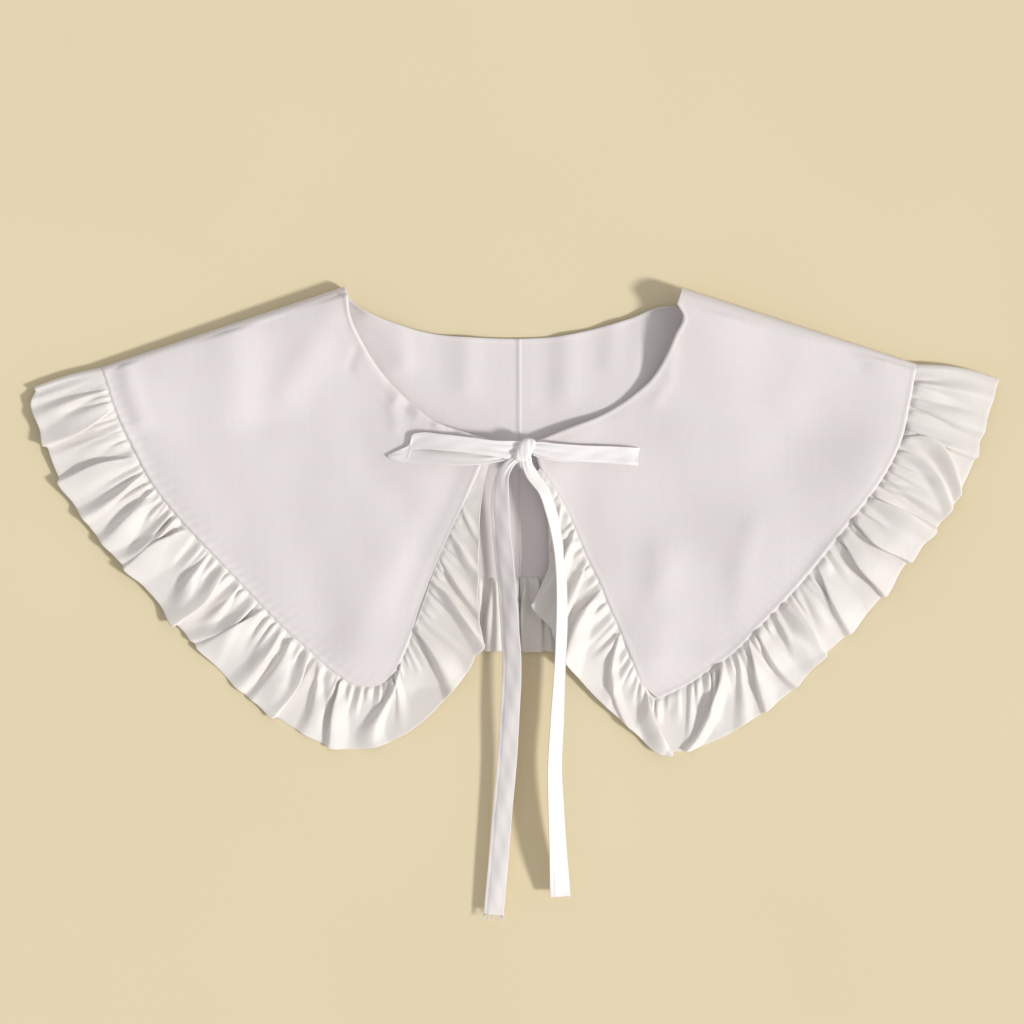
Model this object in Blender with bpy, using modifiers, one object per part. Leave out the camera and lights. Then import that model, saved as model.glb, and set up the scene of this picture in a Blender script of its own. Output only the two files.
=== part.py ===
"""Detachable cotton collar: two wide halves, a gathered ruffle all round and a tied bow, laid flat.

Metres, +Z up. The collar lies on z = 0 with its neck towards +Y, its left half at -X and its
centre front and bow towards -Y. The origin is under the middle of its box.
"""
import math

import bmesh
import bpy
import numpy as np

for old in list(bpy.data.objects):
    bpy.data.objects.remove(old, do_unlink=True)

MM = 0.001

# Cloth and seams
WALL_PANEL = 1.2 * MM
WALL_RUFFLE = 1.1 * MM
WALL_TIE = 1.0 * MM
SEAM_GAP = 0.3 * MM
LAY_GAP = 0.3 * MM
CURVE_SLACK = 0.1 * MM
STRIP_TRIM = 0.6 * MM

# Overall places: the middle of the box, the neck points and the ends of the shoulder folds
BOX_MIDDLE = np.array([-0.32, -0.535]) * MM
NECK_POINT = {"left": np.array([-90.0, 165.6]) * MM, "right": np.array([88.0, 164.6]) * MM}
SHOULDER_END = {"left": np.array([-218.4, 123.2]) * MM, "right": np.array([212.5, 124.8]) * MM}
RUFFLE_CORNER = {"left": np.array([-254.4, 113.0]) * MM, "right": np.array([256.0, 117.0]) * MM}
FRONT_CORNER = {"left": np.array([-12.6, 84.0]) * MM, "right": np.array([10.0, 83.0]) * MM}
CENTRE_BACK_X = 2.0 * MM
CENTRE_BACK_NECK_Y = 138.0 * MM
BACK_HEM_Y = 11.9 * MM

# The shoulder fold is a soft roll, fuller at the neck, and more so on the right
ROLL_NECK = {"left": 5.6 * MM, "right": 9.6 * MM}
ROLL_SHOULDER = 3.6 * MM
ROLL_HEM = 3.0 * MM
ROLL_SETTLE_NECK = 64.0 * MM
ROLL_SETTLE_SHOULDER = 45.0 * MM
RUFFLE_SETTLE = 22.0 * MM
ROLL_STEPS_PANEL = 6
ROLL_STEPS_RUFFLE = 4

# How the layers stack
BACK_PANEL_TOP = WALL_PANEL
BACK_RUFFLE_TOP = 3.8 * MM
BACK_RUFFLE_REACH = 41.0 * MM
BACK_HEM_TUCK = 1.5 * MM
SUPPORT_RISE = 45.0 * MM
SUPPORT_RISE_END = 2.0 * MM
SUPPORT_FALL = 24.0 * MM
FLOOR_LIFT = 0.1 * MM
CORNER_LIFT = 5.0 * MM
CORNER_SPREAD = 28.0 * MM
PANEL_SWELL = 1.5 * MM
# The left opening's hem curls up between the tip and the front corner
OPENING_CURL = {"left": 4.5 * MM, "right": 0.0}

# Grids
FRONT_COLUMNS = 20
FRONT_ROWS = 13
BACK_COLUMNS = 12
BACK_ROWS = 5
RUFFLE_ROWS = (0.0, 0.12, 0.4, 0.7, 1.0)
BACK_RUFFLE_ROWS = (0.0, 0.15, 0.55, 1.0)
CURVE_READINGS = 400
BACK_SEAM_STEPS = 60

# Gathers: every second one stays high down to the hem, the others die out on the way.
# A phase is the angle, in radians, by which a gather's unevenness moves on from the last one's.
GATHERS_OUTER = 38
GATHERS_OPENING = 18
GATHERS_BACK = 24
GATHER_HALF = 0.28
GATHER_WANDER = 0.12
GATHER_PHASE = 2.3
CREST_MAIN = 3.2 * MM
CREST_MINOR = 1.6 * MM
CREST_BACK = 2.2 * MM
CREST_LEAN = 0.45
CREST_START = 0.25
CREST_RISE = 0.12
CREST_GROWN = 0.6
CREST_UNEVEN = 0.2
CREST_PHASE = 2.4
MINOR_FADE = 0.85
HEM_WANDER = 1.0 * MM
HEM_PHASE = 1.7
FULL_CREST_WIDTH = 25.0 * MM
FULL_WANDER_WIDTH = 30.0 * MM
CALM_OUTER = 14.0 * MM
CALM_BACK = 20.0 * MM

# Neckline of the front halves, from the neck point down to the front corner
NECKLINE_FRONT = {
    "left": [(-86.9, 149.7), (-81.3, 137.0), (-73.7, 124.3), (-65.7, 114.2), (-54.6, 103.6),
             (-42.4, 94.2), (-27.6, 88.8)],
    "right": [(88.4, 149.2), (84.3, 139.1), (79.5, 128.0), (72.8, 117.2), (62.5, 107.9),
              (45.6, 97.3), (28.1, 90.4)],
}
NECKLINE_BACK = {
    "left": [(-80.0, 153.4), (-63.0, 146.0), (-46.1, 141.2), (-19.1, 138.6)],
    "right": [(78.4, 155.0), (61.0, 148.7), (42.9, 143.4), (21.2, 139.1)],
}

# Each row is one fold line of the ruffle: seam x, seam y, hem x, hem y
OUTER_FOLDS = {
    "left": [(-214.8, 111.5, -255.9, 104.6), (-212.0, 102.6, -250.1, 88.8),
             (-201.9, 80.3, -242.2, 66.5), (-191.9, 61.7, -225.8, 39.5),
             (-179.7, 45.8, -205.1, 16.2), (-164.3, 28.9, -190.8, 0.8),
             (-152.1, 16.2, -181.3, -10.9), (-141.0, 4.5, -170.7, -21.5),
             (-123.0, -14.0, -145.8, -48.0), (-107.6, -27.8, -129.3, -60.2),
             (-95.4, -38.4, -112.4, -70.8), (-86.4, -44.3, -96.5, -78.2),
             (-78.0, -45.8, -84.1, -79.2)],
    "right": [(207.8, 101.5, 247.4, 88.2), (204.0, 84.5, 242.2, 72.3),
              (196.6, 68.6, 232.1, 51.7), (187.1, 54.3, 221.0, 35.2),
              (178.1, 42.7, 208.8, 21.5), (169.1, 31.0, 194.0, 1.9),
              (155.3, 14.0, 177.6, -16.7), (142.6, -0.3, 163.2, -29.9),
              (128.3, -15.1, 147.9, -46.9), (116.6, -27.3, 132.0, -59.1),
              (106.0, -35.2, 109.7, -72.9), (92.8, -44.3, 92.8, -79.2),
              (81.6, -50.0, 83.0, -80.8)],
}
TIP_FOLD = {"left": (-71.6, -44.9, -73.2, -77.8), "right": (75.6, -52.8, 75.4, -80.0)}
OPENING_FOLDS = {
    "left": [(-64.1, -39.0, -59.9, -72.3),
             (-58.8, -28.9, -45.6, -61.7), (-54.6, -18.3, -33.4, -48.0),
             (-50.9, -8.7, -22.3, -33.1), (-46.6, 3.4, -19.6, -21.5),
             (-40.4, 20.3, -19.6, 4.0), (-33.0, 36.6, -19.1, 26.5),
             (-25.8, 52.7, -18.2, 47.8), (-20.4, 65.4, -15.9, 63.4),
             (-16.6, 74.4, -13.4, 73.2)],
    "right": [(66.8, -43.7, 62.0, -68.6),
              (62.0, -32.1, 47.2, -55.9), (56.2, -17.8, 32.9, -40.5),
              (49.8, -3.4, 23.9, -26.8), (44.5, 9.8, 18.6, -10.9),
              (38.7, 20.9, 16.4, 5.0), (32.9, 34.7, 18.0, 19.9),
              (26.0, 49.6, 17.3, 40.5), (19.6, 60.2, 14.0, 55.7),
              (13.3, 69.7, 9.6, 66.4)],
}
# The back is alike on both sides, so the left half's folds are mirrored
BACK_FOLDS = [(-212.0, 102.6, -246.5, 88.0), (-203.4, 83.0, -238.5, 66.0),
              (-190.2, 62.6, -221.0, 41.0), (-172.3, 42.1, -192.0, 10.0),
              (-145.8, 25.2, -155.0, -12.0), (-114.0, 15.6, -117.0, -23.5),
              (-71.6, 12.5, -72.0, -26.8), (-18.6, 11.9, -18.6, -27.0)]

# The tie: x, y, height above what it lies on, width, tilt in degrees with the +X edge up
LOOP_LEFT = [(0.6, 79.3, 4.4, 6.0, 0), (-8.0, 79.6, 4.8, 7.4, 0), (-24.0, 81.4, 4.9, 8.3, 0),
             (-40.0, 83.2, 4.8, 8.5, 0), (-50.0, 84.0, 4.5, 8.6, 0), (-54.2, 83.2, 4.1, 8.4, 0),
             (-56.8, 77.6, 4.1, 7.8, 0), (-61.5, 76.4, 4.2, 5.6, 0), (-65.6, 76.0, 3.4, 1.8, 0),
             (-61.5, 75.8, 2.6, 5.4, 0), (-54.0, 76.0, 2.3, 8.2, 0), (-40.0, 76.4, 1.9, 9.4, 0),
             (-24.0, 75.4, 1.9, 8.6, 0), (-8.0, 76.2, 2.0, 6.4, 0), (-3.0, 76.4, 2.1, 5.4, 0)]
LOOP_RIGHT = [(11.6, 79.4, 4.4, 7.4, 0), (20.0, 77.9, 4.7, 8.8, 0), (36.0, 77.0, 4.9, 8.3, 0),
              (52.0, 76.3, 5.1, 8.6, 0), (62.6, 75.6, 4.8, 9.2, 0), (65.2, 75.5, 3.6, 9.4, 0),
              (62.6, 75.8, 2.6, 9.4, 0), (52.0, 76.6, 2.5, 9.2, 0), (36.0, 77.4, 2.2, 9.0, 0),
              (20.0, 78.3, 2.0, 8.4, 0), (13.6, 79.0, 2.1, 7.0, 0)]
TAIL_LEFT = [(1.25, 74.6, 11.4, 2.2, 0), (-3.2, 71.0, 11.5, 4.4, 10), (-6.4, 65.6, 11.2, 7.6, 28),
             (-7.6, 55.9, 10.4, 10.0, 35), (-6.9, 35.8, 9.2, 10.6, 36), (-4.5, 11.4, 9.4, 10.6, 44),
             (-2.8, -13.0, 10.6, 10.6, 46), (-1.6, -32.0, 12.0, 10.6, 45),
             (-2.9, -63.3, 11.2, 10.6, 38), (-4.1, -84.0, 9.2, 10.6, 32),
             (-7.0, -115.8, 7.2, 10.6, 28), (-9.1, -141.8, 6.6, 10.6, 20),
             (-11.3, -166.2, 5.6, 10.6, 12)]
TAIL_RIGHT = [(5.4, 72.0, 11.6, 4.0, -10), (8.4, 66.6, 11.8, 7.4, -35), (14.8, 58.0, 12.0, 9.4, -52),
              (19.2, 45.8, 11.6, 10.6, -58), (22.5, 29.9, 11.4, 10.6, -62),
              (24.6, 3.4, 13.8, 10.6, -60), (24.4, -16.7, 14.6, 10.6, -57),
              (23.6, -34.0, 14.2, 10.6, -58), (22.0, -63.3, 14.0, 10.6, -50),
              (20.8, -89.3, 14.6, 10.6, -47), (21.5, -110.5, 13.8, 10.6, -40),
              (22.8, -136.5, 10.6, 10.6, -30), (23.9, -156.6, 6.2, 10.6, -6)]
TIE_STEP = 6.0 * MM
LOOP_STEP = 2.6 * MM
FEWEST_STEPS = 8

KNOT_MIDDLE = np.array([6.1, 79.2]) * MM
KNOT_SIZE = (9.0 * MM, 12.2 * MM, 6.4 * MM)
KNOT_BASE = 8.3 * MM
KNOT_ROUNDING = 2.6 * MM
KNOT_ROUNDING_STEPS = 3

WHITE_COTTON = (0.80, 0.785, 0.79, 1.0)
COTTON_ROUGHNESS = 0.82


def smoothstep(value):
    value = np.clip(value, 0.0, 1.0)
    return value * value * (3.0 - 2.0 * value)


def chord_knots(points):
    steps = np.linalg.norm(np.diff(points, axis=0), axis=1)
    return np.concatenate([[0.0], np.cumsum(steps)])


def smooth_curve(points, knots, where):
    """A cubic curve through the points, read at the given knot values."""
    slopes = np.gradient(points, knots, axis=0)
    index = np.clip(np.searchsorted(knots, where, side="right") - 1, 0, len(knots) - 2)
    span = knots[index + 1] - knots[index]
    t = ((where - knots[index]) / span)[:, None]
    span = span[:, None]
    start = points[index] * (2 * t**3 - 3 * t**2 + 1) + slopes[index] * span * (t**3 - 2 * t**2 + t)
    end = points[index + 1] * (3 * t**2 - 2 * t**3) + slopes[index + 1] * span * (t**3 - t**2)
    return start + end


def even_curve(points, count):
    """The smooth curve through the points, cut into count equal steps."""
    points = np.array(points)
    knots = chord_knots(points)
    dense = smooth_curve(points, knots, np.linspace(0.0, knots[-1], CURVE_READINGS))
    length = chord_knots(dense)
    wanted = np.linspace(0.0, length[-1], count + 1)
    return np.stack([np.interp(wanted, length, dense[:, axis]) for axis in range(dense.shape[1])], 1)


def coons_patch(neck, seam, first, last):
    """The plan of a panel between four edge curves, as an array of columns by rows."""
    u = np.linspace(0.0, 1.0, len(neck))[:, None, None]
    v = np.linspace(0.0, 1.0, len(first))[None, :, None]
    ruled = (1 - v) * neck[:, None] + v * seam[:, None] + (1 - u) * first[None] + u * last[None]
    corners = (1 - u) * ((1 - v) * neck[0] + v * seam[0]) + u * ((1 - v) * neck[-1] + v * seam[-1])
    return ruled - corners


def down_from_fold(side):
    """The direction across the shoulder fold, in plan, towards the hem."""
    along = SHOULDER_END[side] - NECK_POINT[side]
    across = np.array([along[1], -along[0]]) / np.linalg.norm(along)
    return across if across[1] < 0 else -across


def roll_radius(along, side):
    """The roll's outer radius: along is 0 at the neck, 1 at the shoulder's end, 2 at the hem."""
    return np.interp(along, [0.0, 1.0, 2.0], [ROLL_NECK[side], ROLL_SHOULDER, ROLL_HEM])


def mirrored_back(points):
    """The left back's plan points, carried over to the right half."""
    reach = (SHOULDER_END["right"][0] - CENTRE_BACK_X) / (CENTRE_BACK_X - SHOULDER_END["left"][0])
    points = np.array(points)
    points[:, 0::2] = CENTRE_BACK_X + (CENTRE_BACK_X - points[:, 0::2]) * reach
    return points


def back_folds(side):
    """Seam and hem points of the back ruffle, from the shoulder's roll to the centre back."""
    across = down_from_fold(side)
    rows = np.array(BACK_FOLDS) * MM
    if side == "right":
        rows = mirrored_back(rows)
    sign = -1.0 if side == "left" else 1.0
    middle = CENTRE_BACK_X + sign * SEAM_GAP / 2
    seam_start = SHOULDER_END[side] + across * (ROLL_SHOULDER + SEAM_GAP)
    hem_start = RUFFLE_CORNER[side] + across * (ROLL_HEM + SEAM_GAP)
    hem_start[0] -= sign * BACK_HEM_TUCK
    seam = np.vstack([seam_start, rows[:, :2], [middle, BACK_HEM_Y]])
    hem = np.vstack([hem_start, rows[:, 2:], [middle, rows[-1, 3]]])
    return seam, hem


def outer_folds(side):
    """Seam and hem points of the outer ruffle, from the top of the shoulder's roll to the tip."""
    across = down_from_fold(side)
    rows = np.array(OUTER_FOLDS[side] + [TIP_FOLD[side]]) * MM
    seam = np.vstack([SHOULDER_END[side] + across * ROLL_SHOULDER, rows[:, :2]])
    hem = np.vstack([RUFFLE_CORNER[side] + across * ROLL_HEM, rows[:, 2:]])
    return seam, hem


def opening_folds(side):
    """Seam and hem points of the front opening's ruffle, from the tip to the front corner."""
    rows = np.array([TIP_FOLD[side]] + OPENING_FOLDS[side]) * MM
    return rows[:, :2], rows[:, 2:]


BACK_SEAM = np.vstack([
    even_curve(back_folds("left")[0], BACK_SEAM_STEPS)[:-1],
    even_curve(back_folds("right")[0], BACK_SEAM_STEPS)[::-1][1:],
])


def beyond_back_seam(plan):
    """How far plan points lie outside the back panels' seam: negative over the panels."""
    flat = plan.reshape(-1, 2)
    start = BACK_SEAM[:-1]
    run = BACK_SEAM[1:] - start
    away = flat[:, None] - start[None]
    share = np.clip((away * run).sum(2) / (run * run).sum(1), 0.0, 1.0)
    gap = away - share[..., None] * run
    distance = np.linalg.norm(gap, axis=2)
    nearest = distance.argmin(1)
    pick = np.arange(len(flat))
    side = run[nearest, 0] * gap[pick, nearest, 1] - run[nearest, 1] * gap[pick, nearest, 0]
    return (-np.sign(side) * distance[pick, nearest]).reshape(plan.shape[:-1])


def top_of_back(plan):
    """The height of the back panel and ruffle under plan points, and the floor past them."""
    out = beyond_back_seam(plan)
    over_ruffle = smoothstep((out + SUPPORT_RISE) / (SUPPORT_RISE + SUPPORT_RISE_END))
    height = BACK_PANEL_TOP + (BACK_RUFFLE_TOP - BACK_PANEL_TOP) * over_ruffle
    return height * (1.0 - smoothstep((out - BACK_RUFFLE_REACH) / SUPPORT_FALL))


def lying(plan, wall):
    """The middle height of a front layer that lies on the back, or on the floor past it."""
    below = top_of_back(plan)
    return below + wall / 2 + FLOOR_LIFT + (LAY_GAP - FLOOR_LIFT) * np.clip(below / BACK_PANEL_TOP, 0, 1)


def front_height(plan, side):
    """The middle height of a front half: its roll at the shoulder settles on to the back."""
    along = SHOULDER_END[side] - NECK_POINT[side]
    away = plan - NECK_POINT[side]
    share = np.clip((away @ along) / (along @ along), 0.0, 1.0)
    radius = roll_radius(share, side)
    depth = away @ down_from_fold(side) - radius
    settle = ROLL_SETTLE_NECK + (ROLL_SETTLE_SHOULDER - ROLL_SETTLE_NECK) * share
    rest = lying(plan, WALL_PANEL)
    top = 2 * radius - WALL_PANEL / 2
    height = rest + (top - rest) * (1.0 - smoothstep(depth / settle))
    corner = np.linalg.norm(plan - FRONT_CORNER[side], axis=-1)
    return height + CORNER_LIFT * np.exp(-0.5 * (corner / CORNER_SPREAD) ** 2)


def cotton(name):
    material = bpy.data.materials.new(f"{name} white cotton")
    material.use_nodes = True
    finish = material.node_tree.nodes["Principled BSDF"]
    finish.inputs["Base Color"].default_value = WHITE_COTTON
    finish.inputs["Roughness"].default_value = COTTON_ROUGHNESS
    finish.inputs["Metallic"].default_value = 0.0
    return material


def add_object(name, mesh):
    piece = bpy.data.objects.new(name, mesh)
    collar.objects.link(piece)
    mesh.materials.append(cotton(name))
    mesh.shade_smooth()
    return piece


def add_cloth(name, points, wall):
    """A wall of cloth round a grid of points, given as columns by rows by x, y, z."""
    columns, rows = points.shape[0] - 1, points.shape[1] - 1
    sheet = bmesh.new()
    bmesh.ops.create_grid(sheet, x_segments=columns, y_segments=rows, size=1.0)
    for vertex in sheet.verts:
        column = round((vertex.co.x + 1.0) / 2.0 * columns)
        row = round((vertex.co.y + 1.0) / 2.0 * rows)
        vertex.co = points[column, row]
        vertex.co.x -= BOX_MIDDLE[0]
        vertex.co.y -= BOX_MIDDLE[1]
    mesh = bpy.data.meshes.new(name)
    sheet.to_mesh(mesh)
    sheet.free()
    piece = add_object(name, mesh)
    thick = piece.modifiers.new("Cloth wall", "SOLIDIFY")
    thick.thickness = wall
    thick.offset = 0.0
    return piece


def with_height(plan, height):
    return np.concatenate([plan, height[..., None]], axis=-1)


def roll_columns(fold_line, across, radius, wall, steps):
    """Columns of points round the shoulder's roll, from under it up to just before its top."""
    middle_radius = radius - wall / 2
    columns = []
    for step in range(steps):
        angle = math.pi * (1.0 - step / steps)
        plan = fold_line + across * (radius - middle_radius * math.sin(angle))[:, None]
        columns.append(with_height(plan, radius + middle_radius * math.cos(angle)))
    return np.array(columns)


def front_panel(side):
    across = down_from_fold(side)
    rows = np.linspace(0.0, 1.0, FRONT_ROWS + 1)
    fold_line = NECK_POINT[side] + rows[:, None] * (SHOULDER_END[side] - NECK_POINT[side])
    radius = roll_radius(rows, side)
    roll = roll_columns(fold_line, across, radius, WALL_PANEL, ROLL_STEPS_PANEL)
    fold_top = fold_line + across * radius[:, None]
    neckline = np.vstack([fold_top[0], np.array(NECKLINE_FRONT[side]) * MM, FRONT_CORNER[side]])
    seam = outer_folds(side)[0]
    edge = np.vstack([FRONT_CORNER[side], opening_folds(side)[0][::-1]])
    plan = coons_patch(even_curve(neckline, FRONT_COLUMNS), even_curve(seam, FRONT_COLUMNS),
                       fold_top, even_curve(edge, FRONT_ROWS))
    u = np.linspace(0.0, 1.0, FRONT_COLUMNS + 1)[:, None]
    swell = PANEL_SWELL * np.sin(math.pi * u) * np.sin(math.pi * rows)[None]
    body = with_height(plan, front_height(plan, side) + swell)
    return add_cloth(f"front_{side}", np.concatenate([roll, body]), WALL_PANEL)


def back_panel(side):
    across = down_from_fold(side)
    rows = np.linspace(0.0, 1.0, BACK_ROWS + 1)
    fold_line = NECK_POINT[side] + rows[:, None] * (SHOULDER_END[side] - NECK_POINT[side])
    fold_side = fold_line + across * (roll_radius(rows, side) + SEAM_GAP)[:, None]
    seam = back_folds(side)[0]
    neck_end = np.array([seam[-1, 0], CENTRE_BACK_NECK_Y])
    neckline = np.vstack([fold_side[0], np.array(NECKLINE_BACK[side]) * MM, neck_end])
    centre = neck_end + rows[:, None] * (seam[-1] - neck_end)
    plan = coons_patch(even_curve(neckline, BACK_COLUMNS), even_curve(seam, BACK_COLUMNS),
                       fold_side, centre)
    height = np.full(plan.shape[:-1], WALL_PANEL / 2)
    return add_cloth(f"back_{side}", with_height(plan, height), WALL_PANEL)


def gather_columns(gathers):
    """Fractions along the strip, with each column's gather number, or -1 between the crests."""
    columns = [(0.0, -1)]
    for gather in range(gathers):
        middle = gather + 0.5 + GATHER_WANDER * math.sin(GATHER_PHASE * gather)
        columns.append(((middle - GATHER_HALF) / gathers, -1))
        columns.append((middle / gathers, gather))
        columns.append(((middle + GATHER_HALF) / gathers, -1))
    return columns + [(1.0, -1)]


def crest_height(gather, row, crest_main):
    """The height of one gather's crest at a row: 0 at the seam and 1 at the hem."""
    rise = CREST_START + (1.0 - CREST_START) * min(1.0, row / CREST_RISE)
    uneven = 1.0 - CREST_UNEVEN + CREST_UNEVEN * math.sin(CREST_PHASE * gather + 1.0)
    if gather % 2 == 0:
        grown = CREST_MINOR + (crest_main - CREST_MINOR) * smoothstep(row / CREST_GROWN)
        return float(rise * uneven * grown)
    return float(rise * uneven * CREST_MINOR * (1.0 - MINOR_FADE * smoothstep(row)))


def strip_edges(folds, gathers):
    """The seam and hem points at the ends of each column of a strip."""
    seam_knots = chord_knots(folds[0])
    hem_knots = chord_knots(folds[1])
    knots = seam_knots + hem_knots
    fractions = np.array([fraction for fraction, _ in gather_columns(gathers)])
    where = STRIP_TRIM + fractions * (knots[-1] - 2 * STRIP_TRIM)
    seam = smooth_curve(folds[0], seam_knots, np.interp(where, knots, seam_knots))
    hem = smooth_curve(folds[1], hem_knots, np.interp(where, knots, hem_knots))
    return seam, hem


def ruffle_strip(folds, gathers, rows, crest_main, low_height, calm_start=0.0):
    """A gathered strip between its seam and its hem, as columns by rows by x, y, z."""
    columns = gather_columns(gathers)
    seam, hem = strip_edges(folds, gathers)
    across = hem - seam
    width = np.linalg.norm(across, axis=1)
    across = across / width[:, None]
    run = np.gradient(seam, axis=0)
    square = np.stack([-run[:, 1], run[:, 0]], 1) / np.linalg.norm(run, axis=1)[:, None]
    square *= np.sign((square * across).sum(1))[:, None]
    along = np.gradient(hem, axis=0)
    along = along / np.linalg.norm(along, axis=1)[:, None]
    seam = seam + square * (SEAM_GAP + CURVE_SLACK)
    strip = []
    for index, (_, gather) in enumerate(columns):
        wander = HEM_WANDER * math.sin(HEM_PHASE * index) * min(1.0, width[index] / FULL_WANDER_WIDTH)
        end = hem[index] + across[index] * wander
        size = min(1.0, width[index] / FULL_CREST_WIDTH)
        if calm_start:
            size *= float(smoothstep(np.linalg.norm(hem[index] - hem[0]) / calm_start))
        column = []
        for row in rows:
            crest = size * crest_height(gather, row, crest_main) if gather >= 0 else 0.0
            lean = crest * CREST_LEAN * min(1.0, row / CREST_RISE)
            plan = seam[index] + (end - seam[index]) * row + along[index] * lean
            column.append([*plan, low_height(plan, index, row) + crest])
        strip.append(column)
    return np.array(strip)


def front_ruffle_height(side, seam_points, start_line):
    """The trough height of a front ruffle: the panel's edge at its seam, then what it lies on."""
    def height(plan, index, row):
        plan = np.asarray(plan)
        edge = float(front_height(seam_points[index], side))
        rest = float(lying(plan, WALL_RUFFLE))
        if start_line is not None:
            start = start_line[0] + (start_line[1] - start_line[0]) * row
            top = 2 * float(roll_radius(1.0 + row, side)) - WALL_RUFFLE / 2
            settled = float(smoothstep(np.linalg.norm(plan - start) / ROLL_SETTLE_SHOULDER))
            rest += (top - rest) * (1.0 - settled)
        else:
            share = index / (len(seam_points) - 1)
            rest += OPENING_CURL[side] * row**2 * math.sin(math.pi * share)
        blend = float(smoothstep(np.linalg.norm(plan - seam_points[index]) / RUFFLE_SETTLE))
        return edge + (rest - edge) * blend
    return height


def outer_ruffle(side):
    folds = outer_folds(side)
    seam_points = strip_edges(folds, GATHERS_OUTER)[0]
    low = front_ruffle_height(side, seam_points, (folds[0][0], folds[1][0]))
    strip = ruffle_strip(folds, GATHERS_OUTER, RUFFLE_ROWS, CREST_MAIN, low, CALM_OUTER)
    rows = np.array(RUFFLE_ROWS)
    across = down_from_fold(side)
    outward = RUFFLE_CORNER[side] - SHOULDER_END[side]
    seam_side = SHOULDER_END[side] + outward / np.linalg.norm(outward) * (SEAM_GAP + CURVE_SLACK)
    fold_line = seam_side + rows[:, None] * (RUFFLE_CORNER[side] - seam_side)
    roll = roll_columns(fold_line, across, roll_radius(1.0 + rows, side), WALL_RUFFLE,
                        ROLL_STEPS_RUFFLE)
    return add_cloth(f"ruffle_outer_{side}", np.concatenate([roll, strip]), WALL_RUFFLE)


def opening_ruffle(side):
    folds = opening_folds(side)
    seam_points = strip_edges(folds, GATHERS_OPENING)[0]
    low = front_ruffle_height(side, seam_points, None)
    strip = ruffle_strip(folds, GATHERS_OPENING, RUFFLE_ROWS, CREST_MAIN, low)
    return add_cloth(f"ruffle_opening_{side}", strip, WALL_RUFFLE)


def back_ruffle(side):
    def low(plan, index, row):
        return WALL_RUFFLE / 2 + FLOOR_LIFT
    strip = ruffle_strip(back_folds(side), GATHERS_BACK, BACK_RUFFLE_ROWS, CREST_BACK, low,
                         CALM_BACK)
    return add_cloth(f"ruffle_back_{side}", strip, WALL_RUFFLE)


def ribbon(name, stations, step, on_panel):
    """A tie's ribbon along its stations, lying on a front half or at its own height."""
    rows = np.array(stations, dtype=float)
    rows[:, :4] *= MM
    knots = chord_knots(rows[:, :3])
    count = max(FEWEST_STEPS, round(knots[-1] / step))
    path = smooth_curve(rows, knots, np.linspace(0.0, knots[-1], count + 1))
    if on_panel:
        start = rows[1, :2] - rows[0, :2]
        side = np.tile([-start[1], start[0]] / np.linalg.norm(start), (len(path), 1))
    else:
        run = np.gradient(path[:, :2], axis=0)
        side = np.stack([-run[:, 1], run[:, 0]], 1) / np.linalg.norm(run, axis=1)[:, None]
        side = np.where(side[:, :1] < 0, -side, side)
    tilt = np.radians(path[:, 4])
    half = path[:, 3] / 2
    across = np.column_stack([side * (half * np.cos(tilt))[:, None], half * np.sin(tilt)])
    points = np.stack([path[:, :3] - across, path[:, :3], path[:, :3] + across], 1)
    if on_panel:
        points[..., 2] += front_height(points[..., :2], on_panel)
    return add_cloth(name, points, WALL_TIE)


def bow_knot():
    """The square knot, a rounded block of tightly wound tie."""
    block = bmesh.new()
    bmesh.ops.create_cube(block, size=1.0)
    bmesh.ops.scale(block, vec=KNOT_SIZE, verts=block.verts)
    mesh = bpy.data.meshes.new("bow_knot")
    block.to_mesh(mesh)
    block.free()
    knot = add_object("bow_knot", mesh)
    place = KNOT_MIDDLE - BOX_MIDDLE
    knot.location = (place[0], place[1], KNOT_BASE + KNOT_SIZE[2] / 2)
    rounding = knot.modifiers.new("Rounded edges", "BEVEL")
    rounding.width = KNOT_ROUNDING
    rounding.segments = KNOT_ROUNDING_STEPS
    return knot


collar = bpy.data.collections.new("detachable_collar")
bpy.context.scene.collection.children.link(collar)
for half in ("left", "right"):
    back_panel(half)
    front_panel(half)
    back_ruffle(half)
    outer_ruffle(half)
    opening_ruffle(half)
bow_knot()
ribbon("bow_loop_left", LOOP_LEFT, LOOP_STEP, "left")
ribbon("bow_loop_right", LOOP_RIGHT, LOOP_STEP, "right")
ribbon("tie_tail_left", TAIL_LEFT, TIE_STEP, None)
ribbon("tie_tail_right", TAIL_RIGHT, TIE_STEP, None)
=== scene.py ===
# %% [markdown]
# # A detachable cotton collar, laid flat
#
# The real collar is two wide halves of white cotton poplin. A gathered ruffle runs round the whole
# edge, and a narrow tie closes the front in a bow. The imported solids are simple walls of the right
# size, so every piece here is a fine, thin shell that lies on its solid and stands for it.
# The same curves draw the solids and the shells, which keeps the two together.

# %% Load the frame
import math

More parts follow.
